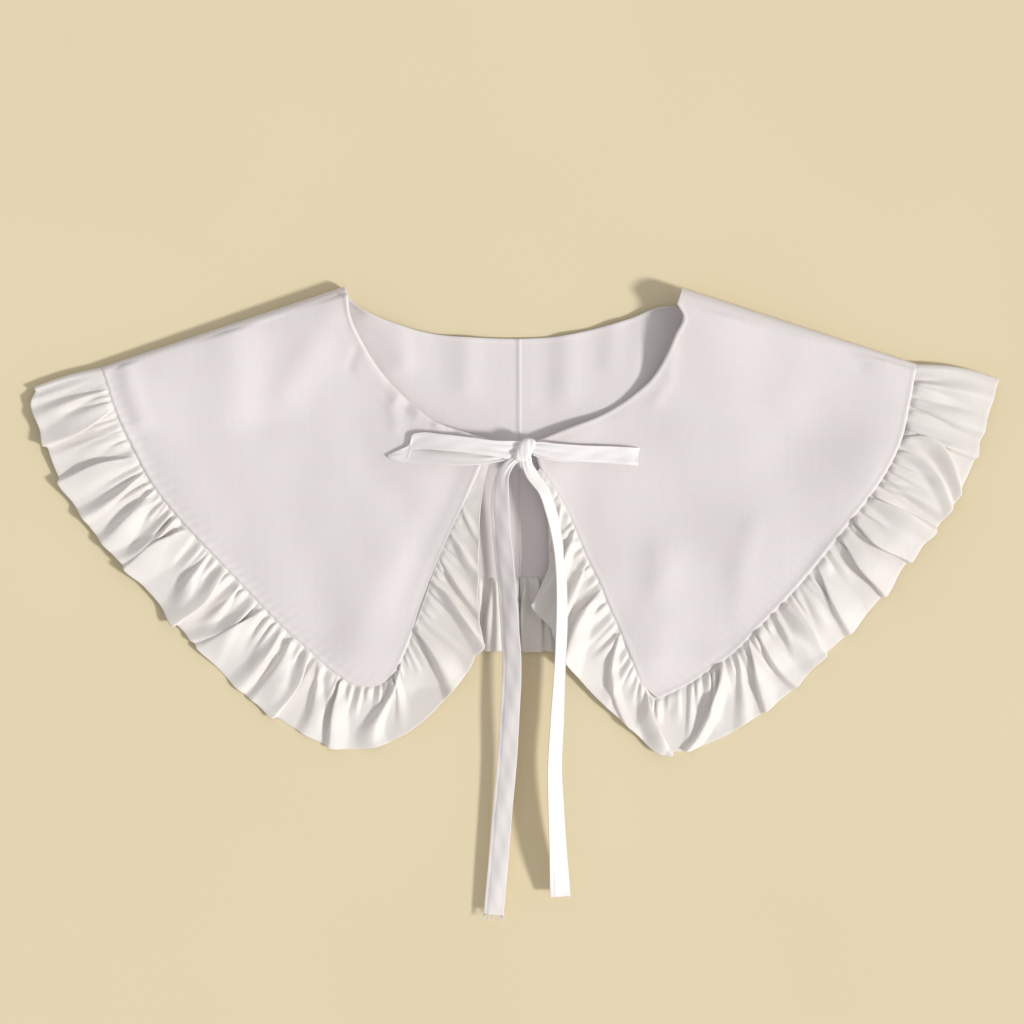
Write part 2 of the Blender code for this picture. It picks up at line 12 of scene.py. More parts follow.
import bpy
import numpy as np
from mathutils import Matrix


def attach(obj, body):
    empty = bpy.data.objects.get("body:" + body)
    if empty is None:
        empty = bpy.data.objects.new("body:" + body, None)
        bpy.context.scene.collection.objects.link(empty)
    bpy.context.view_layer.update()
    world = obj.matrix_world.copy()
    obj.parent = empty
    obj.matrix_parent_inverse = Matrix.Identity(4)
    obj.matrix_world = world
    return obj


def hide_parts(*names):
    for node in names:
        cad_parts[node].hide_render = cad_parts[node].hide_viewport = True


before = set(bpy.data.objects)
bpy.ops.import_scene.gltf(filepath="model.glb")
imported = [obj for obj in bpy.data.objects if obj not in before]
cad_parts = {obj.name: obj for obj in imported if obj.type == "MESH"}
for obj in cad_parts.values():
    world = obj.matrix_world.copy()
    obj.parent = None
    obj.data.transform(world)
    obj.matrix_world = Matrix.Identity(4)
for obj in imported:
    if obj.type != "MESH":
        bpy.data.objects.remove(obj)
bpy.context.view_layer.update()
MM = 0.001
print("solids loaded:", len(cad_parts))

# %% [markdown]
# ## The camera and the photo's scale
#
# The photo was taken from straight above. One of its pixels covers 0.53 mm of the surface, and the
# collar's folds are read from it in pixels, so one function turns pixels to metres. A long lens far
# away keeps the view as flat as the photo's.

# %% Photo scale and camera
PIXEL = 0.53 * MM
SKETCH_PIXEL = np.array([515.0, 599.5])
BOX_MIDDLE = np.array([-0.32, -0.535]) * MM
PHOTO_PIXELS = 1024
LENS = 110.0
SENSOR = 36.0


def spot(pixels):
    """Photo pixels to metres in the frame that the collar is drawn in."""
    pixels = np.asarray(pixels, dtype=float)
    return (pixels - SKETCH_PIXEL) * np.array([PIXEL, -PIXEL])


view_middle = spot([PHOTO_PIXELS / 2, PHOTO_PIXELS / 2]) - BOX_MIDDLE
camera_data = bpy.data.cameras.new("camera")
camera_data.lens = LENS
camera_data.sensor_width = SENSOR
camera = bpy.data.objects.new("camera", camera_data)
camera.location = (*view_middle, PHOTO_PIXELS * PIXEL * LENS / SENSOR)
bpy.context.scene.collection.objects.link(camera)
bpy.context.scene.camera = camera
print("camera height in m:", round(camera.location.z, 3))

# %% [markdown]
# ## Curves and surfaces
#
# A panel of cloth is a grid of points between four edge curves. A Coons patch blends the edges, so a
# few listed points along each edge are enough. The curves are cubic and pass through every point.

# %% Curve helpers
CURVE_READINGS = 800
NO_LENGTH = 1e-9


def smoothstep(value):
    value = np.clip(value, 0.0, 1.0)
    return value * value * (3.0 - 2.0 * value)


def chord_knots(points):
    steps = np.linalg.norm(np.diff(points, axis=0), axis=1)
    return np.concatenate([[0.0], np.cumsum(steps)])


def smooth_curve(points, knots, where):
    """A cubic curve through the points, read at the given knot values."""
    slopes = np.gradient(points, knots, axis=0)
    index = np.clip(np.searchsorted(knots, where, side="right") - 1, 0, len(knots) - 2)
    span = knots[index + 1] - knots[index]
    t = ((where - knots[index]) / span)[:, None]
    span = span[:, None]
    start = points[index] * (2 * t**3 - 3 * t**2 + 1) + slopes[index] * span * (t**3 - 2 * t**2 + t)
    end = points[index + 1] * (3 * t**2 - 2 * t**3) + slopes[index + 1] * span * (t**3 - t**2)
    return start + end


def curve_at(points, fractions):
    """The smooth curve through the points, read at fractions of its length."""
    points = np.array(points)
    knots = chord_knots(points)
    dense = smooth_curve(points, knots, np.linspace(0.0, knots[-1], CURVE_READINGS))
    length = chord_knots(dense)
    wanted = np.asarray(fractions) * length[-1]
    return np.stack([np.interp(wanted, length, dense[:, axis]) for axis in range(dense.shape[1])], 1)


def coons_patch(neck, seam, first, last, u, v):
    """The plan of a panel between four edge curves, as an array of columns by rows."""
    u = u[:, None, None]
    v = v[None, :, None]
    ruled = (1 - v) * neck[:, None] + v * seam[:, None] + (1 - u) * first[None] + u * last[None]
    corners = (1 - u) * ((1 - v) * neck[0] + v * seam[0]) + u * ((1 - v) * neck[-1] + v * seam[-1])
    return ruled - corners


def with_height(plan, height):
    return np.concatenate([plan, height[..., None]], axis=-1)


def add_mesh(name, points, faces, material):
    mesh = bpy.data.meshes.new(name)
    flat = points.reshape(-1, 3).copy()
    flat[:, :2] -= BOX_MIDDLE
    mesh.from_pydata(flat.tolist(), [], faces.tolist())
    mesh.update()
    mesh.shade_smooth()
    mesh.materials.append(material)
    piece = bpy.data.objects.new(name, mesh)
    bpy.context.scene.collection.objects.link(piece)
    return piece


def grid_faces(columns, rows, closed=False):
    """The four-cornered faces of a grid of columns by rows of points."""
    last = columns if closed else columns - 1
    column, row = np.meshgrid(np.arange(last), np.arange(rows - 1), indexing="ij")
    first = (column * rows + row).ravel()
    beside = ((column + 1) % columns * rows + row).ravel()
    return np.stack([first, beside, beside + 1, first + 1], 1)


def add_cloth(name, points, wall, material):
    """A thin shell of cloth with the given wall round a grid of points."""
    piece = add_mesh(name, points, grid_faces(points.shape[0], points.shape[1]), material)
    thick = piece.modifiers.new("Cloth wall", "SOLIDIFY")
    thick.thickness = wall
    thick.offset = 0.0
    return piece


def one_side_area(points):
    """The area of a grid of points, in square metres."""
    along = points[1:, :-1] - points[:-1, :-1]
    across = points[:-1, 1:] - points[:-1, :-1]
    return float(np.linalg.norm(np.cross(along, across), axis=-1).sum())


# %% [markdown]
# ## Cotton poplin
#
# Poplin is a plain weave of fine combed cotton, about 40 threads to the centimetre, pressed smooth.
# It gives a soft matt white, a faint sheen on the curves and faint slubs along the warp, which runs
# up the photo. The threads are finer than a pixel, so the weave is drawn 0.9 mm coarse and weak.

# %% Material helpers
COTTON_IOR = 1.47
SHEEN_ROUGHNESS = 0.45
THREAD_SPACING = 0.9 * MM
THREAD_WANDER = 1.5
THREAD_DETAIL = 2.0
WEAVE_STRENGTH = 0.35
SLUB_WIDTH = 1.6 * MM
SLUB_LENGTH = 55.0 * MM
SLUB_DETAIL = 3.0
SLUB_SHARE = 0.45
CLOUD_SIZE = 60.0 * MM
CLOUD_DETAIL = 2.0
CLOUD_SHARE = 0.55
LIGHT_THROUGH = (1.0, 0.78, 0.68)
LIGHT_REACH = 1.6 * MM
LIGHT_SHARE = 0.25


def linear(code):
    """An sRGB hex colour as linear red, green, blue and 1."""
    parts = [int(code[i:i + 2], 16) / 255 for i in (0, 2, 4)]
    curve = [p / 12.92 if p <= 0.04045 else ((p + 0.055) / 1.055) ** 2.4 for p in parts]
    return (*curve, 1.0)


def set_inputs(material, node, inputs):
    """Links or sets the named inputs of a node."""
    for name, value in inputs.items():
        if isinstance(value, bpy.types.NodeSocket):
            material.node_tree.links.new(value, node.inputs[name])
        else:
            node.inputs[name].default_value = value


def add_node(material, kind, inputs=None, **settings):
    node = material.node_tree.nodes.new(kind)
    for name, value in settings.items():
        setattr(node, name, value)
    set_inputs(material, node, inputs or {})
    return node


def add_math(material, operation, *values):
    node = add_node(material, "ShaderNodeMath", dict(enumerate(values)), operation=operation)
    return node.outputs["Value"]


def add_noise(material, place, scale, detail):
    noise = add_node(material, "ShaderNodeTexNoise", {"Vector": place, "Scale": scale, "Detail": detail})
    return noise.outputs["Fac"]


def add_tint(material, share, shade, light):
    """A colour that a share between 0 and 1 takes from shade to light."""
    tint = add_node(material, "ShaderNodeMix",
                    {"Factor": share, "A": linear(shade), "B": linear(light)}, data_type="RGBA")
    return tint.outputs["Result"]


def cotton_poplin(name, light, shade, roughness, sheen, weave_depth):
    material = bpy.data.materials.new(name)
    material.use_nodes = True
    place = add_node(material, "ShaderNodeTexCoord").outputs["Object"]
    stretched = add_node(material, "ShaderNodeMapping", {
        "Vector": place, "Scale": (1 / SLUB_WIDTH, 1 / SLUB_LENGTH, 1 / SLUB_WIDTH)})
    slub = add_noise(material, stretched.outputs["Vector"], 1.0, SLUB_DETAIL)
    cloud = add_noise(material, place, 1 / CLOUD_SIZE, CLOUD_DETAIL)
    cloud_part = add_math(material, "MULTIPLY", cloud, CLOUD_SHARE)
    mottle = add_math(material, "MULTIPLY_ADD", slub, SLUB_SHARE, cloud_part)
    threads = {"Vector": place, "Scale": 1 / (THREAD_SPACING * 2 * math.pi),
               "Distortion": THREAD_WANDER, "Detail": THREAD_DETAIL}
    warp, weft = [add_node(material, "ShaderNodeTexWave", threads, bands_direction=axis).outputs["Fac"]
                  for axis in "XY"]
    relief = add_math(material, "ADD", add_math(material, "ADD", warp, weft), slub)
    bump = add_node(material, "ShaderNodeBump", {
        "Strength": WEAVE_STRENGTH, "Distance": weave_depth, "Height": relief})
    set_inputs(material, material.node_tree.nodes["Principled BSDF"], {
        "Base Color": add_tint(material, mottle, shade, light), "Normal": bump.outputs["Normal"],
        "Roughness": roughness, "IOR": COTTON_IOR,
        "Sheen Weight": sheen, "Sheen Roughness": SHEEN_ROUGHNESS,
        "Subsurface Weight": LIGHT_SHARE, "Subsurface Radius": LIGHT_THROUGH,
        "Subsurface Scale": LIGHT_REACH})
    return material


# %% The three cotton finishes
panel_poplin = cotton_poplin("cotton poplin, pressed", "e5dfde", "d9d3d2", 0.74, 0.06, 0.02 * MM)
ruffle_poplin = cotton_poplin("cotton poplin, gathered", "ece6e1", "dfd9d3", 0.6, 0.12, 0.012 * MM)
tie_poplin = cotton_poplin("cotton poplin, turned tie", "f3efed", "e9e3e2", 0.6, 0.1, 0.012 * MM)
print("materials:", [material.name for material in bpy.data.materials])

# %% [markdown]
# ## The collar's outline
#
# These are the sizes that the solids are drawn from: the neck, the shoulder folds, the seam and the
# hem. They are repeated here in millimetres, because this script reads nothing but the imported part.

# %% Outline of the collar
WALL_PANEL = 1.2 * MM
WALL_RUFFLE = 1.1 * MM
SEAM_GAP = 0.3 * MM
NECK_POINT = {"left": np.array([-90.0, 165.6]) * MM, "right": np.array([88.0, 164.6]) * MM}
SHOULDER_END = {"left": np.array([-218.4, 123.2]) * MM, "right": np.array([212.5, 124.8]) * MM}
RUFFLE_CORNER = {"left": np.array([-254.4, 113.0]) * MM, "right": np.array([256.0, 117.0]) * MM}
FRONT_CORNER = {"left": np.array([-12.6, 84.0]) * MM, "right": np.array([10.0, 83.0]) * MM}
CENTRE_BACK_X = 2.0 * MM
CENTRE_BACK_NECK_Y = 138.0 * MM
BACK_HEM_Y = 11.9 * MM
ROLL_NECK = {"left": 5.6 * MM, "right": 9.6 * MM}
ROLL_SHOULDER = 3.6 * MM
ROLL_HEM = 3.0 * MM
ROLL_SETTLE_NECK = 64.0 * MM
ROLL_SETTLE_SHOULDER = 45.0 * MM
RUFFLE_SETTLE = 22.0 * MM
BACK_PANEL_TOP = 1.2 * MM
BACK_RUFFLE_TOP = 3.8 * MM
BACK_RUFFLE_REACH = 41.0 * MM
BACK_HEM_TUCK = 1.5 * MM
SUPPORT_RISE = 45.0 * MM
SUPPORT_RISE_END = 2.0 * MM
SUPPORT_FALL = 24.0 * MM
FLOOR_LIFT = 0.1 * MM
LAY_GAP = 0.3 * MM
CORNER_LIFT = 5.0 * MM
CORNER_SPREAD = 28.0 * MM
OPENING_CURL = {"left": 6.8 * MM, "right": 4.5 * MM}
CURL_CENTRE = {"left": 1.0, "right": 0.55}
OPENING_CALM = {"left": 0.45, "right": 0.15}
PANEL_SWELL = 1.5 * MM

NECKLINE_FRONT = {
    "left": [(-86.9, 149.7), (-81.3, 137.0), (-73.7, 124.3), (-65.7, 114.2), (-54.6, 103.6),
             (-42.4, 94.2), (-27.6, 88.8)],
    "right": [(88.4, 149.2), (84.3, 139.1), (79.5, 128.0), (72.8, 117.2), (62.5, 107.9),
              (45.6, 97.3), (28.1, 90.4)],
}
NECKLINE_BACK = {
    "left": [(-80.0, 153.4), (-63.0, 146.0), (-46.1, 141.2), (-19.1, 138.6)],
    "right": [(78.4, 155.0), (61.0, 148.7), (42.9, 143.4), (21.2, 139.1)],
}
# Seam x, seam y, hem x, hem y along the ruffle, from the shoulder to the tip
OUTER_LINES = {
    "left": [(-214.8, 111.5, -255.9, 104.6), (-212.0, 102.6, -250.1, 88.8),
             (-201.9, 80.3, -242.2, 66.5), (-191.9, 61.7, -225.8, 39.5),
             (-179.7, 45.8, -205.1, 16.2), (-164.3, 28.9, -190.8, 0.8),
             (-152.1, 16.2, -181.3, -10.9), (-141.0, 4.5, -170.7, -21.5),
             (-123.0, -14.0, -145.8, -48.0), (-107.6, -27.8, -129.3, -60.2),
             (-95.4, -38.4, -112.4, -70.8), (-86.4, -44.3, -96.5, -78.2),
             (-78.0, -45.8, -84.1, -79.2)],
    "right": [(207.8, 101.5, 247.4, 88.2), (204.0, 84.5, 242.2, 72.3),
              (196.6, 68.6, 232.1, 51.7), (187.1, 54.3, 221.0, 35.2),
              (178.1, 42.7, 208.8, 21.5), (169.1, 31.0, 194.0, 1.9),
              (155.3, 14.0, 177.6, -16.7), (142.6, -0.3, 163.2, -29.9),
              (128.3, -15.1, 147.9, -46.9), (116.6, -27.3, 132.0, -59.1),
              (106.0, -35.2, 109.7, -72.9), (92.8, -44.3, 92.8, -79.2),
              (81.6, -50.0, 83.0, -80.8)],
}
TIP_LINE = {"left": (-71.6, -44.9, -73.2, -77.8), "right": (75.6, -52.8, 75.4, -80.0)}
# The same along the front opening, from the tip up to the front corner
OPENING_LINES = {
    "left": [(-64.1, -39.0, -59.9, -72.3), (-58.8, -28.9, -45.6, -61.7),
             (-54.6, -18.3, -33.4, -48.0), (-50.9, -8.7, -22.3, -33.1),
             (-46.6, 3.4, -19.6, -21.5), (-40.4, 20.3, -19.6, 4.0),
             (-33.0, 36.6, -19.1, 26.5), (-25.8, 52.7, -18.2, 47.8),
             (-20.4, 65.4, -15.9, 63.4), (-16.6, 74.4, -13.4, 73.2)],
    "right": [(66.8, -43.7, 62.0, -68.6), (62.0, -32.1, 47.2, -55.9),
              (56.2, -17.8, 32.9, -40.5), (49.8, -3.4, 23.9, -26.8),
              (44.5, 9.8, 18.6, -10.9), (38.7, 20.9, 16.4, 5.0),
              (32.9, 34.7, 18.0, 19.9), (26.0, 49.6, 17.3, 40.5),
              (19.6, 60.2, 14.0, 55.7), (13.3, 69.7, 9.6, 66.4)],
}
BACK_LINES = [(-212.0, 102.6, -246.5, 88.0), (-203.4, 83.0, -238.5, 66.0),
              (-190.2, 62.6, -221.0, 41.0), (-172.3, 42.1, -192.0, 10.0),
              (-145.8, 25.2, -155.0, -12.0), (-114.0, 15.6, -117.0, -23.5),
              (-71.6, 12.5, -72.0, -26.8), (-18.6, 11.9, -18.6, -27.0)]


def down_from_fold(side):
    """The direction across the shoulder fold, in plan, towards the hem."""
    along = SHOULDER_END[side] - NECK_POINT[side]
    across = np.array([along[1], -along[0]]) / np.linalg.norm(along)
    return across if across[1] < 0 else -across


def roll_radius(along, side):
    """The roll's outer radius: along is 0 at the neck, 1 at the shoulder's end, 2 at the hem."""
    return np.interp(along, [0.0, 1.0, 2.0], [ROLL_NECK[side], ROLL_SHOULDER, ROLL_HEM])


def outer_lines(side):
    across = down_from_fold(side)
    rows = np.array(OUTER_LINES[side] + [TIP_LINE[side]]) * MM
    seam = np.vstack([SHOULDER_END[side] + across * ROLL_SHOULDER, rows[:, :2]])
    hem = np.vstack([RUFFLE_CORNER[side] + across * ROLL_HEM, rows[:, 2:]])
    return seam, hem


def opening_lines(side):
    rows = np.array([TIP_LINE[side]] + OPENING_LINES[side]) * MM
    return rows[:, :2], rows[:, 2:]


def back_lines(side):
    across = down_from_fold(side)
    rows = np.array(BACK_LINES) * MM
    sign = -1.0
    if side == "right":
        sign = 1.0
        reach = (SHOULDER_END["right"][0] - CENTRE_BACK_X) / (CENTRE_BACK_X - SHOULDER_END["left"][0])
        rows[:, 0::2] = CENTRE_BACK_X + (CENTRE_BACK_X - rows[:, 0::2]) * reach
    middle = CENTRE_BACK_X + sign * SEAM_GAP / 2
    seam_start = SHOULDER_END[side] + across * (ROLL_SHOULDER + SEAM_GAP)
    hem_start = RUFFLE_CORNER[side] + across * (ROLL_HEM + SEAM_GAP)
    hem_start[0] -= sign * BACK_HEM_TUCK
    seam = np.vstack([seam_start, rows[:, :2], [middle, BACK_HEM_Y]])
    hem = np.vstack([hem_start, rows[:, 2:], [middle, rows[-1, 3]]])
    return seam, hem


# %% [markdown]
# ## How the layers lie on one another
#
# The back lies on the surface. The fronts fold over it in a soft roll at each shoulder, and step up
# where the hidden back ruffle lies under them. One height function gives every front layer its bed.

# %% Heights of the bed
BACK_SEAM_READINGS = np.linspace(0.0, 1.0, 61)
BACK_SEAM = np.vstack([curve_at(back_lines("left")[0], BACK_SEAM_READINGS)[:-1],
                       curve_at(back_lines("right")[0], BACK_SEAM_READINGS)[::-1][1:]])


def beyond_back_seam(plan):
    """How far plan points lie outside the back panels' seam: negative over the panels."""
    flat = plan.reshape(-1, 2)
    run = BACK_SEAM[1:] - BACK_SEAM[:-1]
    distance = np.full(len(flat), np.inf)
    side = np.zeros(len(flat))
    for start, step in zip(BACK_SEAM[:-1], run):
        away = flat - start
        share = np.clip(away @ step / (step @ step), 0.0, 1.0)
        gap = away - share[:, None] * step
        length = np.linalg.norm(gap, axis=1)
        nearer = length < distance
        distance[nearer] = length[nearer]
        side[nearer] = np.sign(step[0] * gap[nearer, 1] - step[1] * gap[nearer, 0])
    return (-side * distance).reshape(plan.shape[:-1])


def top_of_back(plan):
    out = beyond_back_seam(plan)
    over_ruffle = smoothstep((out + SUPPORT_RISE) / (SUPPORT_RISE + SUPPORT_RISE_END))
    height = BACK_PANEL_TOP + (BACK_RUFFLE_TOP - BACK_PANEL_TOP) * over_ruffle
    return height * (1.0 - smoothstep((out - BACK_RUFFLE_REACH) / SUPPORT_FALL))


def lying(plan, wall):
    """The middle height of a front layer that lies on the back, or on the floor past it."""
    below = top_of_back(plan)
    return below + wall / 2 + FLOOR_LIFT + (LAY_GAP - FLOOR_LIFT) * np.clip(below / BACK_PANEL_TOP, 0, 1)


def front_height(plan, side):
    along = SHOULDER_END[side] - NECK_POINT[side]
    away = plan - NECK_POINT[side]
    share = np.clip((away @ along) / (along @ along), 0.0, 1.0)
    radius = roll_radius(share, side)
    depth = away @ down_from_fold(side) - radius
    settle = ROLL_SETTLE_NECK + (ROLL_SETTLE_SHOULDER - ROLL_SETTLE_NECK) * share
    rest = lying(plan, WALL_PANEL)
    top = 2 * radius - WALL_PANEL / 2
    height = rest + (top - rest) * (1.0 - smoothstep(depth / settle))
    corner = np.linalg.norm(plan - FRONT_CORNER[side], axis=-1)
    return height + CORNER_LIFT * np.exp(-0.5 * (corner / CORNER_SPREAD) ** 2)


def roll_columns(fold_line, across, radius, wall, steps):
    """Columns of points round the shoulder's roll, from under it up to just before its top."""
    middle_radius = radius - wall / 2
    columns = []
    for step in range(steps):
        angle = math.pi * (1.0 - step / steps)
        plan = fold_line + across * (radius - middle_radius * math.sin(angle))[:, None]
        columns.append(with_height(plan, radius + middle_radius * math.cos(angle)))
    return np.array(columns)


# %% [markdown]
# ## Creases and puckers of the halves
#
# The halves are pressed, but each has soft waves and small puckers that the light picks out. Each is
# a short line read from the photo with a width and a height of its own; a negative height is a dip.

# %% Crease lines
FRONT_CREASES = {
    "left": [([(403, 391), (396, 402)], 1.6, 0.5), ([(411, 396), (406, 410)], 1.6, -0.5),
             ([(421, 403), (417, 417)], 1.8, 0.6), ([(433, 410), (431, 424)], 1.6, -0.5),
             ([(443, 415), (441, 431)], 1.8, 0.6), ([(454, 421), (455, 433)], 1.5, -0.5),
             ([(465, 426), (466, 436)], 1.7, 0.6), ([(475, 430), (477, 441)], 1.5, -0.5),
             ([(485, 434), (486, 444)], 1.6, 0.5),
             ([(397, 388), (393, 406), (396, 426)], 2.6, 0.7), ([(357, 351), (350, 367)], 2.0, -0.6),
             ([(474, 470), (455, 510), (432, 558), (414, 602)], 4.0, 0.8),
             ([(470, 462), (452, 506), (428, 556), (414, 600)], 9.0, -1.6),
             ([(350, 296), (318, 342), (286, 392)], 7.0, 1.5),
             ([(352, 338), (372, 374), (396, 402), (428, 424)], 5.0, 0.9),
             ([(348, 298), (354, 330), (368, 360), (386, 386), (409, 408), (436, 425)], 1.5, 0.8),
             ([(268, 330), (266, 372), (262, 420)], 9.0, -0.9),
             ([(126, 360), (131, 390), (141, 420)], 4.0, 1.5),
             ([(118, 372), (126, 402), (140, 432)], 4.0, -0.6),
             ([(150, 430), (178, 478), (210, 520)], 9.0, 0.9),
             ([(402, 470), (372, 540), (352, 600)], 12.0, 1.0),
             ([(300, 470), (300, 540), (330, 620)], 11.0, -1.1),
             ([(232, 326), (236, 362), (240, 398)], 9.0, 1.5),
             ([(395, 560), (372, 610), (350, 655)], 8.0, 1.0),
             ([(352, 430), (372, 470), (402, 500)], 7.0, -0.8)],
    "right": [([(846, 337), (862, 352), (884, 360)], 3.0, 0.9), ([(838, 345), (860, 364)], 3.0, -0.7),
              ([(718, 330), (732, 378), (734, 432)], 14.0, 1.5),
              ([(792, 340), (796, 372), (786, 400)], 9.0, 1.0),
              ([(780, 350), (800, 400), (790, 450)], 12.0, -0.7),
              ([(890, 385), (882, 430), (866, 462)], 13.0, 1.9),
              ([(690, 440), (740, 500), (770, 560)], 13.0, 1.2),
              ([(656, 560), (662, 610), (652, 660)], 7.0, 1.5),
              ([(700, 560), (706, 610), (698, 650)], 7.0, -0.7),
              ([(722, 570), (736, 612), (726, 640)], 6.0, -0.7),
              ([(612, 470), (600, 520), (618, 590)], 9.0, 0.8),
              ([(560, 462), (585, 500), (600, 550)], 7.0, -0.6),
              ([(672, 350), (668, 380), (655, 402)], 2.6, 0.6),
              ([(582, 405), (584, 430), (560, 462)], 7.0, 0.9),
              ([(752, 528), (738, 572), (736, 616)], 5.0, 0.8),
              ([(664, 572), (640, 610), (628, 650)], 6.0, 0.9)],
}
PUCKER_SPACING = 5.2 * MM
PUCKER_REACH = 7.0 * MM
PUCKER_HEIGHT = 0.16 * MM
PUCKER_DRIFT = 2.0
PUCKER_DRIFT_LENGTH = 23.0 * MM
# Height, then the lengths along x and y in mm, and how fast the phase turns
WAVES = [(0.40, 19, 31, 1.0), (0.28, 11, -23, 2.1), (0.18, 27, 9, 3.7), (0.07, 5, 13, 1.0)]
WAVE_PHASE = {"left": 0.4, "right": 2.2}


def crease_height(plan, creases):
    """The height that a list of creases adds at plan points."""
    added = np.zeros(plan.shape[:-1])
    for line, width, height in creases:
        line = spot(line)
        nearest = np.full(plan.shape[:-1], np.inf)
        for start, end in zip(line[:-1], line[1:]):
            run = end - start
            away = plan - start
            share = np.clip(away @ run / (run @ run), 0.0, 1.0)
            nearest = np.minimum(nearest, np.linalg.norm(away - share[..., None] * run, axis=-1))
        added += height * MM * np.exp(-0.5 * (nearest / (width * MM)) ** 2)
    return added


def waves(plan, phase):
    """Broad, uneven waves, under a millimetre high."""
    x, y = plan[..., 0] / MM, plan[..., 1] / MM
    return MM * sum(height * np.sin(x / along + y / up + turn * phase) for height, along, up, turn in WAVES)


# %% [markdown]
# ## The two front halves
#
# Each half is two plies, sewn and turned, so its edge is a soft round lip and its neckline has a
# narrow pressed edge. Extra rows of points near the edges hold that lip, which a plain even grid
# would be too coarse for.

# %% Front halves
PLY = 0.9 * MM
LIP_PLACES = np.array([0.0, 0.0022, 0.005, 0.0088, 0.0135, 0.02])
LIP_HEIGHT = 0.35 * MM
LIP_MIDDLE = 1.2 * MM
LIP_WIDTH = 0.7 * MM
LIP_DROP = 0.5 * MM
LIP_MARGIN = 0.03
NECK_LIP_SHARPNESS = 1.2
ROLL_STEPS = 16
FRONT_COLUMNS = 170
FRONT_ROWS = 110
CALM_EDGE = 6.0 * MM
CALM_FOLD = 0.12


def lipped(count, both=True):
    """Fractions from 0 to 1 with extra ones near the end, or near both ends."""
    middle = np.linspace(LIP_MARGIN if both else 0.0, 1.0 - LIP_MARGIN, count)
    start = LIP_PLACES if both else []
    return np.concatenate([start, middle, (1.0 - LIP_PLACES)[::-1]])


def lip(distance):
    """The soft round lip of a turned edge, by the distance from it."""
    rise = LIP_HEIGHT * np.exp(-((distance - LIP_MIDDLE) / LIP_WIDTH) ** 2)
    drop = LIP_HEIGHT * np.clip(1.0 - distance / LIP_DROP, 0.0, 1.0) ** 2
    return rise - drop


def front_half(side):
    u, v = lipped(FRONT_COLUMNS, both=False), lipped(FRONT_ROWS)
    across = down_from_fold(side)
    fold_line = NECK_POINT[side] + v[:, None] * (SHOULDER_END[side] - NECK_POINT[side])
    radius = roll_radius(v, side)
    fold_top = fold_line + across * radius[:, None]
    neckline = np.vstack([fold_top[0], np.array(NECKLINE_FRONT[side]) * MM, FRONT_CORNER[side]])
    edge = np.vstack([FRONT_CORNER[side], opening_lines(side)[0][::-1]])
    plan = coons_patch(curve_at(neckline, u), curve_at(outer_lines(side)[0], u),
                       fold_top, curve_at(edge, v), u, v)
    to_neck = np.linalg.norm(plan - plan[:, :1], axis=-1)
    to_seam = np.linalg.norm(plan - plan[:, -1:], axis=-1)
    to_edge = np.linalg.norm(plan - plan[-1:], axis=-1)
    calm = smoothstep(np.minimum(to_neck, to_seam) / CALM_EDGE) * smoothstep(u / CALM_FOLD)[:, None]
    swell = PANEL_SWELL * np.sin(math.pi * u)[:, None] * np.sin(math.pi * v)[None]
    height = front_height(plan, side) + swell
    height += calm * waves(plan, WAVE_PHASE[side])
    height += crease_height(plan, FRONT_CREASES[side])
    edge_distance = np.minimum(to_seam, to_edge)
    height += lip(edge_distance) + lip(to_neck * NECK_LIP_SHARPNESS)
    seam_length = chord_knots(plan[:, -1])
    drift = PUCKER_DRIFT * np.sin(seam_length / PUCKER_DRIFT_LENGTH)
    pucker = np.sin(2 * math.pi * seam_length / PUCKER_SPACING + drift)
    height += PUCKER_HEIGHT * pucker[:, None] * np.exp(-to_seam / PUCKER_REACH)
    roll = roll_columns(fold_line, across, radius, WALL_PANEL, ROLL_STEPS)
    points = np.concatenate([roll, with_height(plan, height)])
    piece = add_cloth(f"collar_front_{side}", points, PLY, panel_poplin)
    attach(piece, "root")
    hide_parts(f"front_{side}")
    print(piece.name, "area", round(one_side_area(points), 4))
    return piece


front_left = front_half("left")
front_right = front_half("right")

# %% [markdown]
# ## The back
#
# The back shows its inside. A seam runs down its centre, pressed open, which leaves a thin ridge, and
# the cloth swells a little where it turns up towards each neck point.

# %% Back halves
CENTRE_SEAM_WIDTH = 0.9 * MM
CENTRE_SEAM_HEIGHT = 0.5 * MM
BACK_LIFT = 2.4 * MM
BACK_LIFT_REACH = 26.0 * MM
BACK_LIFT_START = 16.0 * MM
BACK_LIFT_ALONG = 70.0 * MM
BACK_PANEL_COLUMNS = 90
BACK_PANEL_ROWS = 70
BACK_DIP_LIMIT = 0.4 * MM
CREASED_FROM_FOLD = 0.1
CREASED_FROM_Y = 20.0 * MM
CREASED_OVER = 30.0 * MM
BACK_CREASES = {
    "left": [([(372, 312), (388, 330), (398, 362)], 5.0, 1.0), ([(402, 325), (406, 362)], 4.0, 0.9),
             ([(468, 335), (467, 384)], 5.0, 1.1), ([(436, 338), (440, 372)], 4.0, -0.4)],
    "right": [([(652, 316), (640, 345), (633, 368)], 6.0, 1.1), ([(615, 320), (611, 362)], 4.5, 1.1),
              ([(568, 334), (566, 388)], 5.5, 1.3), ([(548, 342), (545, 400)], 5.0, -0.4)],
}


